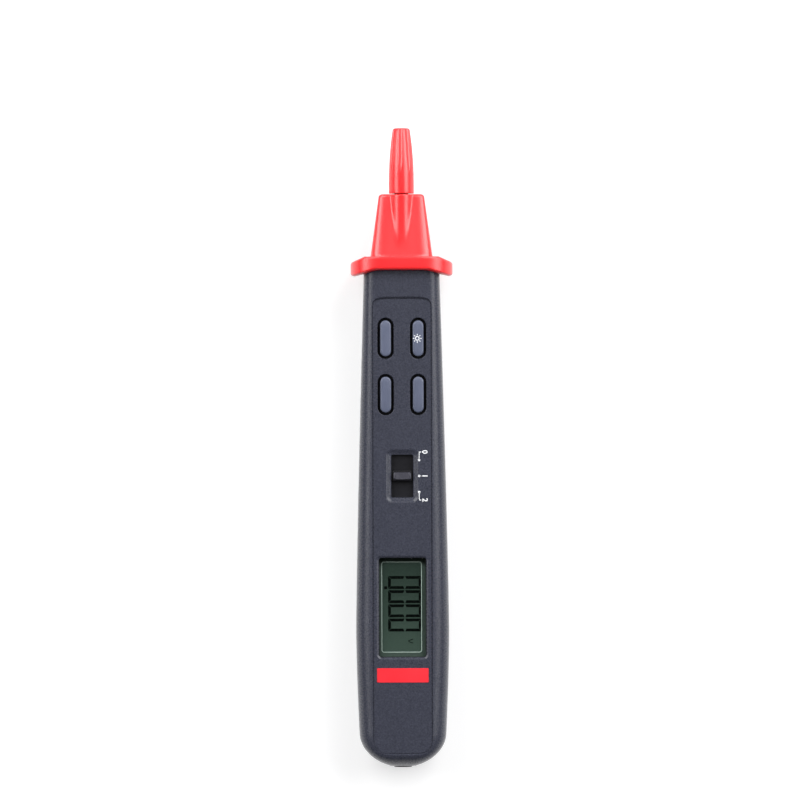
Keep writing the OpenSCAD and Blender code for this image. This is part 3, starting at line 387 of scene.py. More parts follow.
def case_arc(s, inset, front, steps):
    """Half a section of the case at s, from its right rim over face or back to its left rim."""
    w = half_width(s, inset)
    h = front_height(s, inset) if front else back_depth(s, inset)
    n = front_squareness(s) if front else BACK_SQUARENESS
    points = []
    for i in range(steps + 1):
        a = pi * i / steps
        r = squircle(2 * w, 2 * h, n, a)
        x, rise = r * cos(a), r * sin(a)
        if front:
            z = SEAM_Z + SEAM_GAP / 2 + rise
        else:
            z = rounded_max(SEAM_Z - SEAM_GAP / 2 - rise, inset, BACK_EDGE)
        points.append((x, y_at(s), z))
    if not inset:
        # A fine bevel along the seam, smaller where the tail closes
        step = (points[1][2] - points[0][2]) / 2
        step = copysign(min(SEAM_EDGE, abs(step)), step)
        for end in (0, -1):
            x, y, z = points[end]
            points[end] = (x - copysign(step, x), y, z)
            points.insert(1 if end == 0 else len(points) - 1, (x, y, z + step))
    return points


def outline_ring(outline, z):
    return [(x, y, z) for x, y in outline]


def rounded_outline(width, length, r, s, x, steps=8):
    points = []
    for quarter in range(4):
        sx = 1 if quarter in (0, 3) else -1
        sy = 1 if quarter < 2 else -1
        for i in range(steps + 1):
            a = radians(90 * quarter + 90 * i / steps)
            points.append((x + sx * (width / 2 - r) + r * cos(a),
                           y_at(s) + sy * (length / 2 - r) + r * sin(a)))
    return points


def stadium(width, length, s, x, steps=16):
    r = width / 2
    points = []
    for half in (1, -1):
        for i in range(steps + 1):
            a = pi * i / steps + (0 if half > 0 else pi)
            points.append((x + r * cos(a), y_at(s) + half * (length - width) / 2 + r * sin(a)))
    return points


def soft(value, squareness):
    """A cosine or sine, reshaped for a superellipse."""
    return copysign(abs(value) ** (2 / squareness), value)


def panel_outline(inset):
    """The sunken panel: straight sides, round lower corners and a gently arched upper end."""
    w = PANEL_WIDTH / 2 - inset
    r = PANEL_CORNER - inset
    foot = y_at(PANEL_FOOT_S + PANEL_CORNER)
    arch = PANEL_ARCH + PANEL_TOP_CORNER - inset
    crown = y_at(PANEL_TOP_S - PANEL_ARCH - PANEL_TOP_CORNER)
    right = [(w - r + r * cos(a), foot + r * sin(a))
             for a in np.radians(np.linspace(270, 360, 13))]
    left = [(-x, y) for x, y in reversed(right)]
    top = [(w * soft(cos(a), 6), crown + arch * soft(sin(a), 3))
           for a in np.radians(np.linspace(0, 180, 49))]
    return right + top + left


def ramp(x, start, end):
    """How far the guard is swept back at x, where its ear runs from start to end."""
    return EAR_SWEEP * min(1.0, max(0.0, abs(x) - start) / (end - start))


def guard_ring(s, inset, front):
    points = []
    for a in full_turn(RING_COUNT):
        r = squircle(GUARD_WIDTH - 2 * inset, GUARD_DEPTH - 2 * inset, GUARD_SQUARENESS, a)
        x = r * cos(a)
        back = ramp(x, *(FRONT_EAR if front else REAR_EAR))
        points.append((x, y_at(s - back), PROBE_Z + r * sin(a)))
    return points


def round_off(distance, r):
    """How far an edge of radius r has drawn in at a distance before its end."""
    if distance >= r:
        return 0.0
    return r - sqrt(max(0.0, r * r - (r - distance) ** 2))


def nose_ring(t):
    to_end = NOSE_LENGTH * (1 - t)
    cut = round_off(to_end, NOSE_TIP_ROUND)
    foot = NOSE_FOOT * max(0.0, 1 - NOSE_LENGTH * t / (3 * NOSE_FOOT)) ** 2
    width = NOSE_BASE[0] + (NOSE_TOP[0] - NOSE_BASE[0]) * t - 2 * cut + foot
    depth = NOSE_BASE[1] + (NOSE_TOP[1] - NOSE_BASE[1]) * t - cut + foot
    barrel = BARREL_D / 2 - round_off(to_end, BARREL_EDGE)
    points = []
    for a in full_turn(RING_COUNT):
        flat = squircle(width, depth, NOSE_SQUARENESS, a)
        r = (flat ** BLEND_POWER + barrel ** BLEND_POWER) ** (1 / BLEND_POWER)
        points.append((r * cos(a), y_at(GUARD_S + NOSE_LENGTH * t), PROBE_Z + r * sin(a)))
    return points


# Mesh building

def scene_object(name, data):
    obj = bpy.data.objects.new(name, data)
    bpy.context.scene.collection.objects.link(obj)
    return obj


def mesh_object(name, points, faces):
    mesh = bpy.data.meshes.new(name)
    mesh.from_pydata([Vector(p) * MM for p in points], [], faces)
    mesh.update()
    obj = scene_object(name, mesh)
    bm = bmesh.new()
    bm.from_mesh(mesh)
    bmesh.ops.recalc_face_normals(bm, faces=bm.faces)
    bm.to_mesh(mesh)
    bm.free()
    return obj


def band(k, m, count):
    """Faces between the rings k and m, each of count points."""
    return [(k * count + i, k * count + (i + 1) % count, m * count + (i + 1) % count, m * count + i)
            for i in range(count)]


def loft(name, rings):
    """A closed skin through rings of equally many points."""
    count, last = len(rings[0]), len(rings) - 1
    points = [p for ring in rings for p in ring]
    faces = [face for k in range(last) for face in band(k, k + 1, count)]
    faces.append(tuple(range(count - 1, -1, -1)))
    faces.append(tuple(last * count + i for i in range(count)))
    return mesh_object(name, points, faces)


def shell_faces(rows, columns):
    """Faces of an outer and an inner grid of points, closed along all four edges."""
    offset = rows * columns
    faces = []
    for k in range(rows - 1):
        for i in range(columns - 1):
            a = k * columns + i
            b = a + columns
            faces.append((a, a + 1, b + 1, b))
            faces.append((offset + a, offset + b, offset + b + 1, offset + a + 1))
        for i in (0, columns - 1):
            a = k * columns + i
            faces.append((a, a + columns, offset + a + columns, offset + a))
    for a in (*range(columns - 1), *range(offset - columns, offset - 1)):
        faces.append((a, a + 1, offset + a + 1, offset + a))
    return faces


def half_shell(name, front):
    """An open shell of the case between its outer and inner sections."""
    tail_steps, body_steps, arc_steps = 26, 78, 112
    angles = np.linspace(acos(1 - TAIL_TIP / TAIL_ROUND), pi / 2, tail_steps)
    stations = [TAIL_ROUND * (1 - cos(a)) for a in angles]
    stations += list(np.linspace(TAIL_ROUND, BODY_LENGTH, body_steps))[1:]
    outer, inner = [], []
    for s in stations:
        t = s + CASE_WALL * (BODY_LENGTH - s) / (BODY_LENGTH - TAIL_TIP)
        outer.append(case_arc(s, 0, front, arc_steps))
        # Two steps more, as the inner arc has no bevel points
        inner.append(case_arc(t, CASE_WALL, front, arc_steps + 2))
    points = [p for grid in (outer, inner) for row in grid for p in row]
    return mesh_object(name, points, shell_faces(len(stations), len(outer[0])))


def circle(r, count):
    return [(r * cos(a), r * sin(a)) for a in full_turn(count)]


def rod(name, s0, s1, z, r, count=64):
    """A round bar along the body."""
    return loft(name, [[(u, y_at(s), z + v) for u, v in circle(r, count)] for s in (s0, s1)])


def post(name, x, s, profile, count=64):
    """A turned post along Z: profile holds pairs of radius and height."""
    return loft(name, [[(x + u, y_at(s) + v, z) for u, v in circle(r, count)] for r, z in profile])


def peg(name, x, s, r, z0, z1, count=64):
    return post(name, x, s, [(r, z0), (r, z1)], count)


def upright(z0, z1):
    """The profile of straight sides between two heights."""
    return [(0.0, z0), (0.0, z1)]


def rounded_loft(name, width, length, r, s, profile, x=0.0, corner=1.0):
    """A rounded block: profile holds pairs of how much its outline grows and the height there."""
    return loft(name, [outline_ring(rounded_outline(
        width + 2 * grow, length + 2 * grow, r + corner * grow, s, x), z) for grow, z in profile])


def stadium_loft(name, width, length, s, x, profile):
    """The same with round ends."""
    return loft(name, [outline_ring(stadium(width + 2 * grow, length + 2 * grow, s, x), z)
                       for grow, z in profile])


def prism(name, outline, z0, z1):
    return loft(name, [outline_ring(outline, z0), outline_ring(outline, z1)])


def block(name, width, s0, s1, z0, z1, r=0.3, x=0.0):
    return prism(name, rounded_outline(width, s1 - s0, r, (s0 + s1) / 2, x, 4), z0, z1)


def evaluated_mesh(obj):
    graph = bpy.context.evaluated_depsgraph_get()
    return bpy.data.meshes.new_from_object(obj.evaluated_get(graph))


def apply_modifiers(obj):
    old, mesh = obj.data, evaluated_mesh(obj)
    obj.modifiers.clear()
    obj.data = mesh
    bpy.data.meshes.remove(old)


def cut(obj, *cutters, operation="DIFFERENCE"):
    for cutter in cutters:
        modifier = obj.modifiers.new("cut", "BOOLEAN")
        modifier.operation = operation
        modifier.solver = "EXACT"
        modifier.object = cutter
        apply_modifiers(obj)
        bpy.data.objects.remove(cutter)
    return obj


def add(obj, *others):
    return cut(obj, *others, operation="UNION")


def join(obj, *others):
    """Puts the meshes of others into obj as they are."""
    bm = bmesh.new()
    bm.from_mesh(obj.data)
    for other in others:
        bm.from_mesh(other.data)
        bpy.data.objects.remove(other)
    bm.to_mesh(obj.data)
    bm.free()
    return obj


def dress(obj, material, body, nodes=(), angle=34.0):
    """Smooths a piece with its sharp edges kept, gives it its material and ties it to its body."""
    obj.data.shade_smooth()
    obj.data.set_sharp_from_angle(angle=radians(angle))
    normals = obj.modifiers.new("normals", "WEIGHTED_NORMAL")
    normals.keep_sharp = True
    normals.weight = 80
    apply_modifiers(obj)
    obj.data.materials.clear()
    obj.data.materials.append(material)
    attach(obj, body)
    if nodes:
        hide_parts(*nodes)


# Materials

def srgb(r, g, b):
    """A colour given as 0 to 255 on screen, as linear light."""
    out = []
    for v in (r, g, b):
        v /= 255
        out.append(v / 12.92 if v <= 0.04045 else ((v + 0.055) / 1.055) ** 2.4)
    return (*out, 1.0)


def grey(value):
    return (value, value, value, 1)


def node_tree(name):
    material = bpy.data.materials.new(name)
    material.use_nodes = True
    tree = material.node_tree
    return material, tree, tree.nodes["Principled BSDF"]


def fill(tree, node, inputs):
    """Gives a node's inputs their values, or links the sockets that feed them."""
    for name, value in inputs.items():
        if isinstance(value, bpy.types.NodeSocket):
            tree.links.new(value, node.inputs[name])
        else:
            node.inputs[name].default_value = value
    return node


def new_node(tree, kind, inputs):
    return fill(tree, tree.nodes.new("ShaderNode" + kind), inputs)


def noise(tree, scale, detail=2.0, roughness=0.5, stretch=(1, 1, 1)):
    """Noise in the object's own space, scale in features per metre."""
    place = new_node(tree, "TexCoord", {}).outputs["Object"]
    mapping = new_node(tree, "Mapping", {"Vector": place, "Scale": stretch})
    texture = new_node(tree, "TexNoise", {"Vector": mapping.outputs["Vector"], "Scale": scale,
                                          "Detail": detail, "Roughness": roughness})
    return texture.outputs["Fac"]


def blend_colours(tree, factor, low, high, first, second):
    node = new_node(tree, "ValToRGB", {"Fac": factor})
    for element, position, colour in zip(node.color_ramp.elements, (low, high), (first, second)):
        element.position = position
        element.color = colour
    return node.outputs["Color"]


def remap(tree, value, low, high):
    """Spreads the middle of a noise's range, where most of it lies, from low to high."""
    node = new_node(tree, "MapRange", {"From Min": 0.3, "From Max": 0.7, "To Min": low, "To Max": high,
                                       "Value": value})
    return node.outputs["Result"]


def bump(tree, height, strength, distance):
    """Grain in the surface, with its full height in mm."""
    node = new_node(tree, "Bump", {"Strength": strength, "Distance": distance * MM, "Height": height})
    return node.outputs["Normal"]


def moulded_plastic(name, first, second, rough, grain, strength, specular=0.5, coat=0.0):
    """Moulded plastic: a fine grain, slight clouds in its colour and in its gloss."""
    material, tree, shader = node_tree(name)
    fill(tree, shader, {
        "Base Color": blend_colours(tree, noise(tree, 60, 3), 0.35, 0.65, first, second),
        "Roughness": remap(tree, noise(tree, 900), *rough),
        "Normal": bump(tree, noise(tree, grain, 3, 0.6), strength, 0.06),
        "Specular IOR Level": specular, "Coat Weight": coat, "Coat Roughness": 0.3})
    return material


def metal(name, first, second, rough, grain, strength, stretch=(1, 1, 1)):
    """Plain metal with fine lines or tooth marks."""
    material, tree, shader = node_tree(name)
    lines = noise(tree, grain, 3, 0.6, stretch)
    fill(tree, shader, {"Base Color": blend_colours(tree, lines, 0.3, 0.7, first, second),
                        "Roughness": remap(tree, lines, *rough),
                        "Normal": bump(tree, lines, strength, 0.03), "Metallic": 1.0})
    return material


def clear_window():
    material, tree, shader = node_tree("clear_window")
    fill(tree, shader, {"Base Color": srgb(40, 52, 46), "Alpha": 0.03,
                        "Roughness": remap(tree, noise(tree, 300), 0.04, 0.07)})
    return material


def display_layer(name, start, stop, first, second, rough, specular):
    """A layer of the display, whose colour changes between two shares of its length: painted light and
    shade.
    """
    material, tree, shader = node_tree(name)
    place = new_node(tree, "TexCoord", {}).outputs["Object"]
    parts = new_node(tree, "SeparateXYZ", {"Vector": place})
    span = new_node(tree, "MapRange", {"From Min": y_at(LCD_S - LCD_LENGTH / 2) * MM,
                                       "From Max": y_at(LCD_S + LCD_LENGTH / 2) * MM,
                                       "Value": parts.outputs["Y"]})
    fill(tree, shader, {
        "Base Color": blend_colours(tree, span.outputs["Result"], start, stop, first, second),
        "Roughness": remap(tree, noise(tree, 500), *rough), "Specular IOR Level": specular})
    return material


def grained_plastic(name, first, second, specular):
    """Matt moulded plastic with the fine speckle of an eroded mould."""
    material, tree, shader = node_tree(name)
    fill(tree, shader, {
        "Base Color": blend_colours(tree, noise(tree, 2600, 2, 0.7), 0.36, 0.66, first, second),
        "Roughness": remap(tree, noise(tree, 1400), 0.24, 0.31),
        "Normal": bump(tree, noise(tree, 3200, 3, 0.65), 0.35, 0.08), "Specular IOR Level": specular})
    return material


# Two colours, span of roughness, grain, its strength and, where given, specular level and coat
PLASTICS = {
    "red_plastic": ((231, 20, 27), (236, 25, 32), (0.29, 0.34), 1800, 0.05, 0.88),
    "label_red": ((226, 45, 55), (231, 51, 61), (0.3, 0.36), 3000, 0.1, 0.15),
    "button_blue": ((79, 85, 104), (88, 94, 114), (0.3, 0.38), 4200, 0.15, 0.6),
    "slider_black": ((56, 56, 65), (62, 62, 71), (0.34, 0.42), 4200, 0.2, 0.45),
    # A darker copy of the slider's plastic for its plate and knob: painted shade down in the slot
    "slider_dark": ((20, 20, 24), (26, 26, 31), (0.34, 0.42), 5000, 0.2, 0.25),
    # Near black for the keys' skirts and stems: painted shade down in the gaps round the keys
    "gap_black": ((8, 8, 10), (12, 12, 14), (0.5, 0.6), 5000, 0.2, 0.1),
    "black_plastic": ((20, 20, 23), (26, 26, 29), (0.36, 0.46), 5000, 0.25, 0.4),
    "print_white": ((238, 240, 242), (246, 247, 248), (0.5, 0.6), 8000, 0.1, 0.2),
    "segment_black": ((2, 4, 3), (4, 6, 5), (0.5, 0.6), 6000, 0.1, 0.0),
    "light_guide": ((236, 238, 232), (242, 243, 239), (0.3, 0.4), 3000, 0.1),
    "zebra_rubber": ((92, 78, 78), (120, 102, 100), (0.6, 0.7), 4000, 0.3),
    "circuit_board": ((24, 96, 54), (30, 108, 62), (0.3, 0.42), 3000, 0.3),
    "chip_black": ((34, 34, 37), (40, 40, 43), (0.5, 0.6), 6000, 0.4),
    "resistor_blue": ((112, 152, 190), (124, 162, 198), (0.3, 0.4), 3000, 0.2),
    "capacitor_sleeve": ((48, 58, 86), (56, 66, 94), (0.2, 0.3), 2000, 0.1),
    "thermistor_yellow": ((200, 160, 40), (208, 170, 52), (0.4, 0.5), 2400, 0.3),
    "trimmer_blue": ((40, 96, 176), (46, 104, 184), (0.34, 0.44), 3000, 0.2),
    "cell_jacket": ((46, 112, 66), (54, 122, 74), (0.22, 0.3), 1800, 0.15, 0.5, 0.3),
}

# Two colours, specular level
GRAINED = {
    "case_front": ((44, 46, 56), (63, 65, 77), 0.34),
    "case_back": ((42, 43, 52), (57, 58, 70), 0.34),
}

# Two shares of the length, the colours there, span of roughness, specular level
DISPLAY_LAYERS = {
    # display_rim: the surround's own colour, with a painted shadow along its probe end where the recess
    # wall shades it
    "display_rim": (0.9, 0.96, (61, 73, 67), (15, 20, 16), (0.5, 0.6), 0.0),
    # A painted highlight along the glass's edge, painted dimmer towards its probe end
    "edge_line": (0.85, 0.97, (176, 194, 185), (104, 116, 109), (0.2, 0.3), 0.5),
    # The glass's own dark green, with a painted reflection that lightens it towards the tail
    "display_glass": (0.1, 0.95, (55, 70, 62), (35, 47, 41), (0.2, 0.24), 0.1),
}

# Two colours, span of roughness, grain, its strength and, where given, its stretch
METALS = {
    "brass": ((198, 160, 92), (214, 178, 112), (0.24, 0.36), 3000, 0.3),
    "steel_screw": ((150, 152, 156), (170, 172, 176), (0.3, 0.42), 3000, 0.3),
    "contact_nickel": ((188, 190, 192), (204, 205, 207), (0.22, 0.32), 2400, 0.2, (1, 6, 1)),
    "probe_steel": ((196, 198, 202), (212, 213, 216), (0.1, 0.18), 3600, 0.15, (1, 6, 1)),
}


def make_materials():
    looks = {"clear_window": clear_window()}
    for make, table in ((grained_plastic, GRAINED), (moulded_plastic, PLASTICS), (metal, METALS)):
        for name, (first, second, *rest) in table.items():
            looks[name] = make(name, srgb(*first), srgb(*second), *rest)
    for name, (start, stop, first, second, *rest) in DISPLAY_LAYERS.items():
        looks[name] = display_layer(name, start, stop, srgb(*first), srgb(*second), *rest)
    return looks


# Looks of the nodes that are carried over
CARRIED = {
    "black_plastic": ["lcd_frame", "probe_sleeve"],
    "light_guide": ["lcd_backlight", "backlight_led"],
    "zebra_rubber": ["zebra_strips"],
    "circuit_board": ["main_board"],
    "chip_black": ["meter_chip"],
    "resistor_blue": ["board_resistors"],
    "capacitor_sleeve": ["board_capacitors"],
    "thermistor_yellow": ["ptc_thermistor"],
    "trimmer_blue": ["trimmer"],
    "cell_jacket": ["battery_left", "battery_right"],
    "brass": ["buzzer_disc", "com_contact", "com_strip", "probe_strip", "cover_insert", "slider_wipers"],
    "contact_nickel": ["crystal", "key_domes", "battery_springs", "battery_terminals", "battery_bridge"],
    "probe_steel": ["probe_pin"],
    "steel_screw": ["case_screws", "battery_screw"],
}


def dress_carried_nodes(looks):
    for look, nodes in CARRIED.items():
        for node in nodes:
            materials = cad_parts[node].data.materials
            for i in range(len(materials)):
                materials[i] = looks[look]
            if not materials:
                materials.append(looks[look])


# Pieces

def through_face(foot, edge, flare=0.0):
    """Profile of an opening in the face: from its foot, along its edge and out above the panel."""
    rows = [(flare + grow, PANEL_Z + rise) for grow, rise in edge]
    return [foot, *rows, (rows[-1][0], PANEL_Z + OVER)]


def cut_panel(shell):
    groove_z = PANEL_Z - GROOVE_DEPTH
    pocket = [(GROOVE_WIDTH + GROOVE_ROUND, PANEL_Z), (GROOVE_WIDTH, groove_z), (0.04, groove_z),
              (0.0, groove_z + GROOVE_ROUND)]
    pocket += [(inset, PANEL_Z + rise) for inset, rise in PANEL_WALL]
    pocket += [(-0.6, BODY_DEPTH), (-0.8, BODY_DEPTH + OVER)]
    cut(shell, loft("pocket", [outline_ring(panel_outline(inset), z) for inset, z in pocket]))


def make_front_shell(looks):
    shell = half_shell("front_shell", True)
    cut_panel(shell)
    foot = (0.0, FRONT_INNER - OVER)
    for s in BUTTON_ROWS:
        for side in (-1, 1):
            cut(shell, stadium_loft("mouth", OPENING_WIDTH, OPENING_LENGTH, s, side * BUTTON_SPREAD / 2,
                                    through_face(foot, MOUTH_EDGE)))
    recess = through_face((0.1, PANEL_Z - RECESS_DEPTH), RECESS_EDGE, RECESS_FLARE)
    cut(shell, rounded_loft("slot", *SLOT, [foot, (0.0, BODY_DEPTH + OVER)]),
        rounded_loft("recess", *SLOT, recess, corner=0.8),
        rounded_loft("display", LCD_WIDTH, LCD_LENGTH, LCD_CORNER, LCD_S, through_face(foot, DISPLAY_EDGE)),
        rod("socket_seat", -OVER, SOCKET_LENGTH, COM_Z, SOCKET_D / 2 + FIT_GAP),
        rounded_loft("label_seat", LABEL_WIDTH + 2 * FIT_GAP, LABEL_LENGTH + 2 * FIT_GAP, SEAT_CORNER,
                     LABEL_S, upright(PANEL_Z - LABEL_SINK, BODY_DEPTH + OVER)))
    low, high = SLOT_S - SLOT_LENGTH / 2, SLOT_S + SLOT_LENGTH / 2
    pad = block("slider_pad", SLOT_WIDTH + 2 * PAD_MARGIN, low - PAD_MARGIN, high + PAD_MARGIN,
                PANEL_Z - RECESS_DEPTH - PAD_THICK, FRONT_INNER + WELD)
    join(shell, cut(pad, block("pad_hole", SLOT_WIDTH, low, high,
                               FRONT_INNER - 3 * OVER, FRONT_INNER + OVER, SLOT_CORNER)))
    dress(shell, looks["case_front"], "meter", ["front_case"])


def cover_loft(name, profile):
    return rounded_loft(name, COVER_WIDTH, COVER_END - COVER_START, COVER_CORNER,
                        (COVER_START + COVER_END) / 2, profile)


def cover_ledge():
    """The frame that the cover lies against, open for the cells and for the cover's boss."""
    ledge = block("ledge", COVER_WIDTH + 2 * LEDGE_SIDE, COVER_START - LEDGE_END, COVER_END + LEDGE_END,
                  LEDGE_FOOT, COVER_THICK + CASE_WALL, LEDGE_CORNER)
    return cut(ledge, cover_loft("seat", [(COVER_GAP, 0.0), (COVER_GAP, COVER_THICK + LOOSE_GAP)]),
               block("way", BAY_WIDTH, BAY_START, BAY_END, 0.0, BACK_WAY, 0.4),
               peg("boss_way", 0, COVER_SCREW_S, COVER_BOSS_D / 2 + LOOSE_GAP, 0.0, BACK_WAY))


def battery_bay():
    bay = block("bay", BAY_WIDTH + 2 * BAY_WALL, BAY_START - BAY_WALL, BAY_END + BAY_WALL,
                COVER_THICK + BAY_FOOT, BAY_TOP + BAY_ROOF, 0.6)
    return cut(bay, block("bay_hollow", BAY_WIDTH, BAY_START, BAY_END, -OVER, BAY_TOP))


def cover_boss():
    """The boss that holds the threaded insert of the cover's screw."""
    r = COVER_BOSS_D / 2
    boss = peg("cover_boss", 0, COVER_SCREW_S, r + BAY_WALL, COVER_THICK + BAY_FOOT, INSERT_TOP)
    return cut(boss, peg("bore", 0, COVER_SCREW_S, r + LOOSE_GAP, 0.0, INSERT_FOOT),
               peg("insert_bore", 0, COVER_SCREW_S, INSERT_R, 0.5, BACK_WAY))


def screw_boss(x, s, foot):
    boss = peg("screw_boss", x, s, SCREW_BOSS_R, foot + SCREW_BOSS_RISE, SEAM_Z - SCREW_BOSS_GAP)
    return cut(boss, peg("bore", x, s, SCREW_D / 2 + FIT_GAP, 0.0, SEAM_Z),
               peg("head", x, s, SCREW_HEAD_D / 2 + LOOSE_GAP, foot - OVER, foot + HEAD_SINK))


def make_rear_shell(looks):
    shell = half_shell("rear_shell", False)
    seat = [(COVER_GAP + 2 * COVER_BEVEL, -OVER), (COVER_GAP + COVER_BEVEL, 0.0),
            (COVER_GAP, COVER_BEVEL), (COVER_GAP, BAY_TOP)]
    cut(shell, cover_loft("cover_hole", seat))
    feet = [(side * x, s, max(0.0, back_floor(s))) for x, s in SCREWS for side in (-1, 1)]
    for x, s, foot in feet:
        well = [(SCREW_HEAD_D / 2 + grow, foot + rise) for grow, rise in WELL_EDGE]
        cut(shell, post("well", x, s, well))
    cut(shell, rod("socket_seat", -OVER, SOCKET_LENGTH + OVER, COM_Z, SOCKET_D / 2 + FIT_GAP))
    join(shell, cover_ledge(), battery_bay(), cover_boss(), *[screw_boss(*place) for place in feet])
    dress(shell, looks["case_back"], "meter", ["rear_case"])


def make_nose_guard(looks):
    rings = [guard_ring(BODY_LENGTH, GUARD_DEPTH / 2 - BARREL_D / 2, False)]
    # Rear edge: a quarter round from the rear face to the rim
    rings += [guard_ring(BODY_LENGTH + GUARD_EDGE * (1 - cos(a)), GUARD_REAR_INSET * (1 - sin(a)), False)
              for a in QUARTER]
    # Front edge, tighter, then the front face in to the foot of the nose
    rings += [guard_ring(GUARD_S - GUARD_FRONT_EDGE * (1 - sin(a)), GUARD_FRONT_EDGE * (1 - cos(a)), True)
              for a in QUARTER]
    # The nose, with closer rings near its foot and its tip
    near = np.linspace(0, NOSE_NEAR, 14)
    middle = np.linspace(NOSE_NEAR, 1 - NOSE_FAR, 46)[1:]
    end = 1 - NOSE_FAR * np.cos(np.linspace(0, pi / 2, 16))[1:]
    rings += [nose_ring(float(t)) for t in [*near, *middle, *end]]
    guard = loft("nose_guard_moulding", rings)
    cut(guard, rod("probe_bore", BODY_LENGTH + 1, NOSE_S + OVER, PROBE_Z, SLEEVE_D / 2 + FIT_GAP))
    dress(guard, looks["red_plastic"], "meter", ["nose_guard"], 42)


def cap_radius(rise, angle):
    """Outside of the cap at a height above its mouth, with concave flutes that start in a point."""
    length = CAP_END - CAP_START
    taper = CAP_D / 2 - (CAP_D - CAP_TIP_D) / 2 * (rise / length) ** CAP_TAPER_POWER
    body = taper - round_off(length - rise, CAP_TIP_ROUND) - round_off(rise, CAP_MOUTH_ROUND)
    if rise <= FLUTE_START:
        return body
    step = 2 * pi / FLUTE_COUNT
    off = (angle - FLUTE_TURN + step / 2) % step - step / 2
    share = min(1.0, (rise - FLUTE_START) / (FLUTE_RUN_IN * (length - FLUTE_START)))
    centre = taper + FLUTE_R - FLUTE_DEPTH * share * (2 - share)
    across = centre * sin(off)
    if abs(across) >= FLUTE_R:
        return body
    return min(body, centre * cos(off) - sqrt(FLUTE_R ** 2 - across ** 2))


def make_cap(looks):
    length = CAP_END - CAP_START
    tip = length - CAP_TIP_ROUND
    rises = [*np.linspace(0, CAP_MOUTH_ROUND, 4), *np.linspace(0.5, FLUTE_START, 8)[:-1],
             *np.linspace(FLUTE_START, tip, 56)[:-1],
             *(length - CAP_TIP_ROUND * np.cos(np.linspace(0, pi / 2, 10)))]
    rings = []
    for rise in rises:
        y = y_at(CAP_START + rise)
        reach = [(a, cap_radius(float(rise), a)) for a in full_turn(CAP_RING_COUNT)]
        rings.append([(r * sin(a), y, PROBE_Z + r * cos(a)) for a, r in reach])
    cap = loft("cap_sheath", rings)
    cut(cap, rod("sleeve_bore", CAP_START - OVER, CAP_START + SLEEVE_SEAT, PROBE_Z,
                 SLEEVE_D / 2 + FIT_GAP),
        rod("pin_bore", CAP_START, CAP_END - CAP_TIP_WALL, PROBE_Z, PIN_D / 2 + PIN_GAP))
    dress(cap, looks["red_plastic"], "probe_cap", ["probe_cap"], 50)


# Row and side of each button
BUTTONS = {"select_button": (0, -1), "light_button": (0, 1),
           "hold_button": (1, -1), "max_min_button": (1, 1)}


def key_profile(width, low, top):
    """A key's rounded shoulder and low crown, as pairs of growth and height."""
    rows = [(0.0, low)]
    for a in QUARTER:
        rows.append((-KEY_SHOULDER * (1 - cos(a)), top - KEY_CROWN - KEY_SHOULDER * (1 - sin(a))))
    for share in (0.3, 0.6, 0.85, 0.97):
        rows.append((-KEY_SHOULDER - (width / 2 - KEY_SHOULDER) * share,
                     top - KEY_CROWN * (1 - share) ** 2))
    return rows


def make_buttons(looks):
    width = OPENING_WIDTH - 2 * BUTTON_GAP
    length = OPENING_LENGTH - 2 * BUTTON_GAP
    reach = OPENING_LENGTH / 2
    flange_z = FRONT_INNER - UNDER_GAP
    foot = flange_z - KEY_SINK
    for node, (row, side) in BUTTONS.items():
        low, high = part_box(node)
        s, x = BUTTON_ROWS[row], side * BUTTON_SPREAD / 2
        key = stadium_loft(node + "_key", width, length, s, x, key_profile(width, foot, high.z / MM))
        flange = block(node + "_skirt", OPENING_WIDTH + 2 * FLANGE_MARGIN, s - reach - FLANGE_MARGIN,
                       s + reach + FLANGE_MARGIN, flange_z - FLANGE_THICK, flange_z, FLANGE_CORNER, x)
        stem = peg("stem", x, s, STEM_R, low.z / MM, foot, 32)
        dress(key, looks["button_blue"], node, [node], 40)
        # Skirt and stem in near black: painted shade in the gap round the key
        dress(join(flange, stem), looks["gap_black"], node)


def make_sun_sign(looks):
    """A plain sun on the lamp's key: a ring and eight rays."""
    s, x = BUTTON_ROWS[0], BUTTON_SPREAD / 2 - SUN_SHIFT
    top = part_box("light_button")[1].z / MM
    ring = peg("sun_ring", x, s, SUN_RING[1], top - 0.1, top, 32)
    cut(ring, peg("sun_hole", x, s, SUN_RING[0], top - 0.3, top + 0.2, 32))
    middle = Vector((x, y_at(s), 0))
    near, far = SUN_RAYS
    rays = []
    for a in full_turn(8):
        along = Vector((cos(a), sin(a), 0))
        across = Vector((-sin(a), cos(a), 0)) * (SUN_RAY_WIDTH / 2)
        ends = [middle + along * near - across, middle + along * far - across,
                middle + along * far + across, middle + along * near + across]
        rays.append(prism("ray", [(p.x, p.y) for p in ends], top - 0.2, top))
    sign = join(ring, *rays)
    sign.name = "sun_sign"
    dress(sign, looks["print_white"], "light_button")


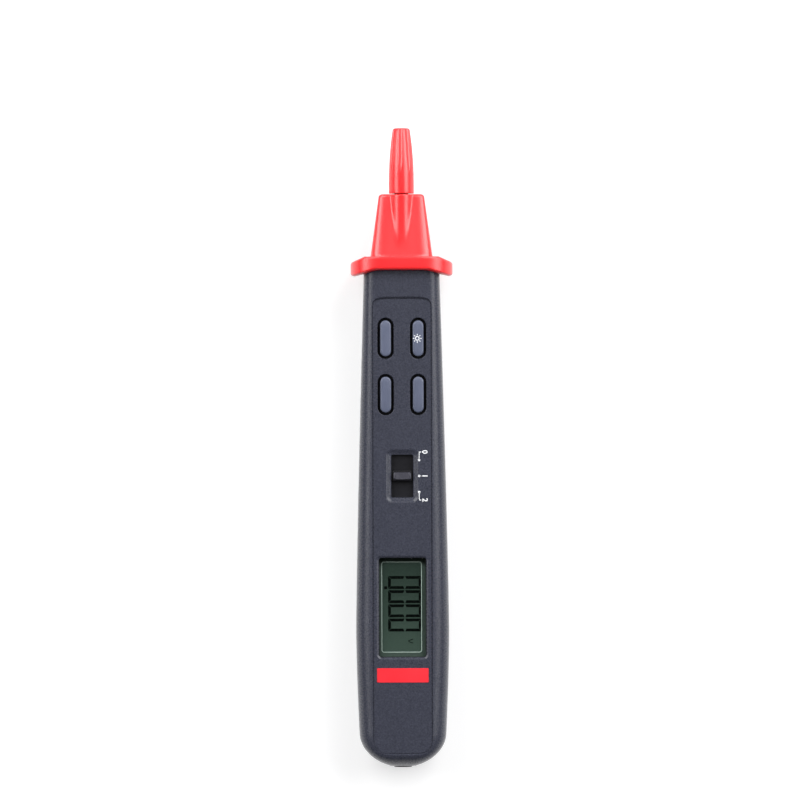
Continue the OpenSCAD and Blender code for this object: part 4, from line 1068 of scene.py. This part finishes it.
def make_slider(looks):
    low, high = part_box("range_slider")
    plate_z = PANEL_Z - RECESS_DEPTH - PAD_THICK - UNDER_GAP - PLATE_THICK
    knob_z = plate_z + 0.5
    knob_top = PANEL_Z - RECESS_DEPTH / 2
    ridge_top = high.z / MM
    plate = rounded_loft("slider_knob", SLOT_WIDTH + 2 * PLATE_MARGIN, (high.y - low.y) / MM, 0.6,
                         SLOT_S, upright(plate_z, plate_z + PLATE_THICK))
    knob = [(0.0, knob_z), (0.0, knob_top - 0.3), (-0.06, knob_top - 0.1), (-0.3, knob_top)]
    body = rounded_loft("knob", *KNOB_SIZE, 0.5, SLOT_S, knob, corner=0.5)
    ridge = [(0.0, knob_top - 0.5), (0.0, PANEL_Z), (-0.07, PANEL_Z + 0.22), (-0.22, ridge_top - 0.1),
             (-0.42, ridge_top - 0.02), (-0.6, ridge_top)]
    grip = rounded_loft("slider_grip", *GRIP_SIZE, 0.7, SLOT_S, ridge)
    # A shallow dish across the grip for the thumb
    cut(grip, rod("dish", SLOT_S - 2, SLOT_S + 2, ridge_top + DISH_R - DISH_DEPTH, DISH_R, 192))
    width, half = CARRIAGE_SIZE
    carriage = block("carriage", width, SLOT_S - half, SLOT_S + half, low.z / MM, knob_z, 0.4)
    join(plate, body, carriage)
    # The plate and knob take the darker copy: painted shade down in the slot
    dress(plate, looks["slider_dark"], "range_slider", ["range_slider"])
    dress(grip, looks["slider_black"], "range_slider")


def make_display(looks):
    """The window, the glass with a painted reflection, and between them a dark surround with a painted
    shadow at its probe end, a painted highlight along the glass's edge, and the digits.
    """
    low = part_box("lcd_window")[0]
    skirt_top = FRONT_INNER - 0.1
    pane = [(1.3, low.z / MM), (1.3, skirt_top), (0.0, skirt_top), (0.0, PANEL_Z - 0.62),
            (-0.08, PANEL_Z - 0.53), (-0.2, PANEL_Z - 0.5)]
    window = rounded_loft("window_pane", LCD_WIDTH - 0.2, LCD_LENGTH - 0.2, 0.9, LCD_S, pane, corner=0.5)
    dress(window, looks["clear_window"], "meter", ["lcd_window"])
    glass_low, glass_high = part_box("lcd_glass")
    top = glass_high.z / MM
    glass_z = top - GLASS_DROP
    # The glass, whose material carries a painted reflection, lighter towards the tail
    glass = rounded_loft("display_glass", LCD_WIDTH - 0.6, LCD_LENGTH - 0.6, 0.2, LCD_S,
                         upright(glass_low.z / MM, glass_z))
    dress(glass, looks["display_glass"], "meter", ["lcd_glass"])
    width, length = VIEW_SIZE
    through = upright(top - 0.5, top + 0.5)
    # The surround, with a painted shadow along its probe end
    surround = rounded_loft("display_surround", LCD_WIDTH + 1, LCD_LENGTH + 1, 0.3, LCD_S,
                            upright(glass_z, top - 0.02))
    cut(surround, rounded_loft("hole", width, length, 0.9, VIEW_S, through, VIEW_X))
    dress(surround, looks["display_rim"], "meter")
    # A thin bright frame that is a painted highlight along the glass's edge
    edge = rounded_loft("display_edge", width, length, 0.9, VIEW_S,
                        upright(top - 0.11, top - 0.01), VIEW_X)
    cut(edge, rounded_loft("hole", width - 2 * VIEW_EDGE, length - 2 * VIEW_EDGE, 0.7, VIEW_S,
                           through, VIEW_X))
    dress(edge, looks["edge_line"], "meter")
    make_digits(looks, glass_z, top - 0.03)


def digit_bars(start):
    """Outlines of a zero's six bars from its side at start: up the digit is +x, across it is -y."""
    bars = []
    middle = DIGIT_HEIGHT / 2
    for across, side in ((0.0, 1), (DIGIT_WIDTH, -1)):
        y = start - across
        inner = y - side * DIGIT_BAR
        for x0, x1, near, far in ((DIGIT_END_GAP, middle - DIGIT_SPLIT / 2, 0.9, 0.45),
                                  (middle + DIGIT_SPLIT / 2, DIGIT_HEIGHT - DIGIT_END_GAP, 0.45, 0.9)):
            x0, x1 = DIGIT_X + x0, DIGIT_X + x1
            bars.append([(x0, y), (x1, y), (x1 - DIGIT_BAR * far, inner), (x0 + DIGIT_BAR * near, inner)])
    first, last = start - DIGIT_SIDE_GAP, start - DIGIT_WIDTH + DIGIT_SIDE_GAP
    for up, side in ((0.0, 1), (DIGIT_HEIGHT, -1)):
        x = DIGIT_X + up
        inner = x + side * DIGIT_BAR
        bars.append([(x, first), (x, last), (inner, last + DIGIT_BAR), (inner, first - DIGIT_BAR)])
    return bars


def make_digits(looks, z0, z1):
    """Four plain zeros of bars, read from the probe towards the tail, with a dot and an arrow."""
    outlines = []
    for d in range(4):
        outlines += digit_bars(DIGIT_Y - DIGIT_PITCH * d)
    dot = Vector((DOT_X, DIGIT_Y - DIGIT_WIDTH + DOT_SHIFT))
    outlines.append([(dot.x + DOT_HALF * sx, dot.y + DOT_HALF * sy) for sx, sy in SQUARE])
    tip = Vector(ARROW_TIP)
    for side in (-1, 1):
        outlines.append([(tip.x + along, tip.y + across * side) for along, across in ARROW_HALF])
    digits = join(*[prism("display_digits", outline, z0, z1) for outline in outlines])
    dress(digits, looks["segment_black"], "meter")


def make_label(looks):
    rings = [(0.0, PANEL_Z - LABEL_SINK), (0.0, PANEL_Z + 0.04), (-0.04, PANEL_Z + 0.08),
             (-0.12, PANEL_Z + 0.1)]
    label = rounded_loft("plain_label", LABEL_WIDTH, LABEL_LENGTH, 0.3, LABEL_S, rings)
    dress(label, looks["label_red"], "meter", ["label_patch"])


def make_position_marks(looks):
    """White dots and leader lines beside the slider, with plain numbers at their ends."""
    z0, z1 = PANEL_Z - 0.02, PANEL_Z + 0.03
    marks = []

    def bar(x0, y0, x1, y1):
        marks.append(prism("line", [(x0, y0), (x1, y0), (x1, y1), (x0, y1)], z0, z1))

    x, half = MARK_X, MARK_LINE / 2
    places = (SLOT_S + RANGE_STEP, SLOT_S, SLOT_S - RANGE_STEP)
    ends = (places[0] + LEADER_RUN, places[1], places[2] - LEADER_RUN)
    for s, end in zip(places, ends):
        marks.append(peg("dot", x, s, MARK_DOT_R, z0, z1, 24))
        y, far = y_at(s), y_at(end)
        if end != s:
            bar(x - half, min(y, far), x + half, max(y, far))
        bar(x - half, far - half, x + MARK_TICK, far + half)
    for number, end in zip("012", ends):
        marks.append(plain_number(number, x + NUMBER_SHIFT, y_at(end), z0, z1))
    sign = join(*marks)
    sign.name = "position_marks"
    dress(sign, looks["print_white"], "meter")


def plain_number(number, x, y, z0, z1):
    """A digit that reads from the probe towards the tail."""
    curve = bpy.data.curves.new("number", "FONT")
    curve.body = number
    curve.size = NUMBER_HEIGHT * MM
    curve.extrude = (z1 - z0) / 2 * MM
    curve.align_x = curve.align_y = "CENTER"
    curve.offset = NUMBER_WEIGHT * MM
    text = scene_object("number", curve)
    bpy.context.view_layer.update()
    mesh = evaluated_mesh(text)
    bpy.data.objects.remove(text)
    place = Matrix.Translation((x * MM, y * MM, (z0 + z1) / 2 * MM))
    mesh.transform(place @ Matrix.Rotation(-pi / 2, 4, "Z"))
    return scene_object("number", mesh)


def cover_groove(s):
    """A cutter across the cover at s, for the finger."""
    groove = rod("groove", 0, COVER_WIDTH / 2, 0, COVER_GROOVE_R, 24)
    place = Matrix.Translation((-COVER_WIDTH / 4 * MM, y_at(s) * MM, -COVER_GROOVE_DROP * MM))
    for step in (Matrix.Translation((0, -y_at(0) * MM, 0)), Matrix.Rotation(-pi / 2, 4, "Z"), place):
        groove.data.transform(step)
    return groove


def make_cover(looks):
    cover = cover_loft("cover_plate", [(-0.3, 0.0), (-0.08, 0.08), (0.0, 0.3), (0.0, COVER_THICK)])
    for i in range(COVER_GROOVES):
        cut(cover, cover_groove(COVER_START + COVER_CORNER + COVER_GROOVE_PITCH * (i + 1)))
    add(cover, peg("boss", 0, COVER_SCREW_S, COVER_BOSS_D / 2, COVER_THICK / 2, COVER_BOSS_TOP))
    head = [(SCREW_HEAD_D / 2 + grow, z) for grow, z in COVER_HEAD_EDGE]
    cut(cover, post("head", 0, COVER_SCREW_S, head),
        peg("bore", 0, COVER_SCREW_S, SCREW_D / 2 + FIT_GAP, 0.0, COVER_BOSS_TOP + 0.8))
    middle = (BAY_START + BAY_END) / 2
    join(cover, block("rib", RIB_WIDTH, middle - RIB_LENGTH / 2, middle + RIB_LENGTH / 2,
                      COVER_THICK / 2, COVER_BOSS_TOP, 0.4))
    dress(cover, looks["case_back"], "battery_cover", ["battery_cover"])


def make_socket(looks):
    """The tail socket: a tube with a rounded rim, a ring groove for the plug and a contact bore."""
    outside = SOCKET_D / 2 - 0.02
    rim = outside - SHEATH_OUT - 0.15
    profile = [(BORE_R, 0.3), (BORE_R + 0.2, 0.06), (BORE_R + 0.4, 0.0), (SHEATH_IN - 0.4, 0.0),
               (SHEATH_IN - 0.12, 0.06), (SHEATH_IN, 0.3), (SHEATH_IN, SHEATH_DEPTH),
               (SHEATH_OUT, SHEATH_DEPTH), (SHEATH_OUT, RIM_START + 0.2)]
    profile += [(outside - rim * (1 - cos(a)), RIM_START + RIM_LENGTH * (1 - sin(a)))
                for a in np.linspace(pi / 2, 0, 9)]
    profile += [(outside, SOCKET_LENGTH - 0.2), (outside - 0.2, SOCKET_LENGTH), (BORE_R, SOCKET_LENGTH)]
    rows, count = len(profile), 96
    points = [(r * cos(a), y_at(s), COM_Z + r * sin(a)) for r, s in profile
              for a in np.linspace(0, 2 * pi, count, endpoint=False)]
    faces = [face for k in range(rows) for face in band(k, (k + 1) % rows, count)]
    socket = mesh_object("socket_sheath", points, faces)
    dress(socket, looks["black_plastic"], "meter", ["com_socket"])


# Stage, light and camera

def make_floor():
    """A white floor that keeps the soft shadow: seen directly, part of its light is its own."""
    material, tree, shader = node_tree("floor_white")
    fill(tree, shader, {"Base Color": grey(0.8), "Roughness": 0.9, "Specular IOR Level": 0.0})
    diffuse = new_node(tree, "BsdfDiffuse", {"Color": grey(FLOOR_WHITE)})
    glow = new_node(tree, "Emission", {"Strength": FLOOR_GLOW})
    both = new_node(tree, "AddShader", {0: diffuse.outputs[0], 1: glow.outputs[0]})
    mix = new_node(tree, "MixShader", {0: seen_directly(tree), 1: shader.outputs[0], 2: both.outputs[0]})
    fill(tree, tree.nodes["Material Output"], {"Surface": mix.outputs[0]})
    corners = [(sx * FLOOR_HALF, sy * FLOOR_HALF, FLOOR_Z) for sx, sy in SQUARE]
    floor = mesh_object("floor", corners, [(0, 1, 2, 3)])
    floor.data.materials.append(material)


def seen_directly(tree):
    """1 for rays from the camera and for those that gloss or glass sends on, else 0."""
    path = new_node(tree, "LightPath", {})
    total = path.outputs["Is Camera Ray"]
    for name in ("Is Glossy Ray", "Is Transmission Ray"):
        node = new_node(tree, "Math", {0: total, 1: path.outputs[name]})
        node.operation = "MAXIMUM"
        total = node.outputs[0]
    return total


def make_world():
    """A studio that is white at the horizon and dim overhead."""
    world = bpy.data.worlds.new("studio")
    bpy.context.scene.world = world
    world.use_nodes = True
    tree = world.node_tree
    direction = new_node(tree, "TexCoord", {}).outputs["Generated"]
    parts = new_node(tree, "SeparateXYZ", {"Vector": direction})
    level = blend_colours(tree, parts.outputs["Z"], 0.02, 0.14, grey(1), (0.13, 0.13, 0.135, 1))
    fill(tree, tree.nodes["Background"], {"Color": level})


# Place, target and size in metres, power in watts: long soft boxes at the sides, a faint one above
LAMPS = {
    "right_box": ((1.25, 0.98, 1.35), (0, 0.02, 0.01), (2.3, 1.4), 58),
    "left_box": ((-1.2, 0.92, 1.4), (0, 0.02, 0.01), (2.2, 1.0), 42),
    "top_box": ((0, 0.52, 2.0), (0, 0.1, 0.01), (0.4, 0.62), 1.3),
}


def make_lamp(name, place, target, size, power):
    lamp = bpy.data.lights.new(name, "AREA")
    lamp.shape = "RECTANGLE"
    lamp.size, lamp.size_y = size
    lamp.energy = power
    obj = scene_object(name, lamp)
    obj.location = place
    obj.rotation_mode = "QUATERNION"
    obj.rotation_quaternion = (Vector(target) - Vector(place)).to_track_quat("-Z", "Y")


def make_camera():
    """Straight above the display face, with a long lens, framed as the photograph is."""
    frame_width = 800
    pixels_per_mm = 2.754
    tail_row, axis_column = 767, 402.0
    tilt = radians(0.18)
    focus_z = 16.0
    camera = bpy.data.cameras.new("camera")
    camera.sensor_width = 36.0
    camera.lens = 800.0
    camera.clip_end = 100.0
    distance = frame_width / pixels_per_mm * camera.lens / camera.sensor_width
    obj = scene_object("camera", camera)
    centre_y = (tail_row - frame_width / 2) / pixels_per_mm - TOTAL_LENGTH / 2
    centre_x = (frame_width / 2 - axis_column) / pixels_per_mm
    obj.location = Vector((centre_x, centre_y, focus_z + distance)) * MM
    obj.rotation_euler = (0, 0, -tilt)
    bpy.context.scene.camera = obj


def main():
    bpy.context.scene.view_settings.view_transform = "Standard"
    make_camera()
    looks = make_materials()
    dress_carried_nodes(looks)
    for make in (make_front_shell, make_rear_shell, make_nose_guard, make_cap, make_buttons,
                 make_sun_sign, make_slider, make_display, make_label, make_position_marks,
                 make_cover, make_socket):
        make(looks)
    make_floor()
    make_world()
    for name, lamp in LAMPS.items():
        make_lamp(name, *lamp)


main()
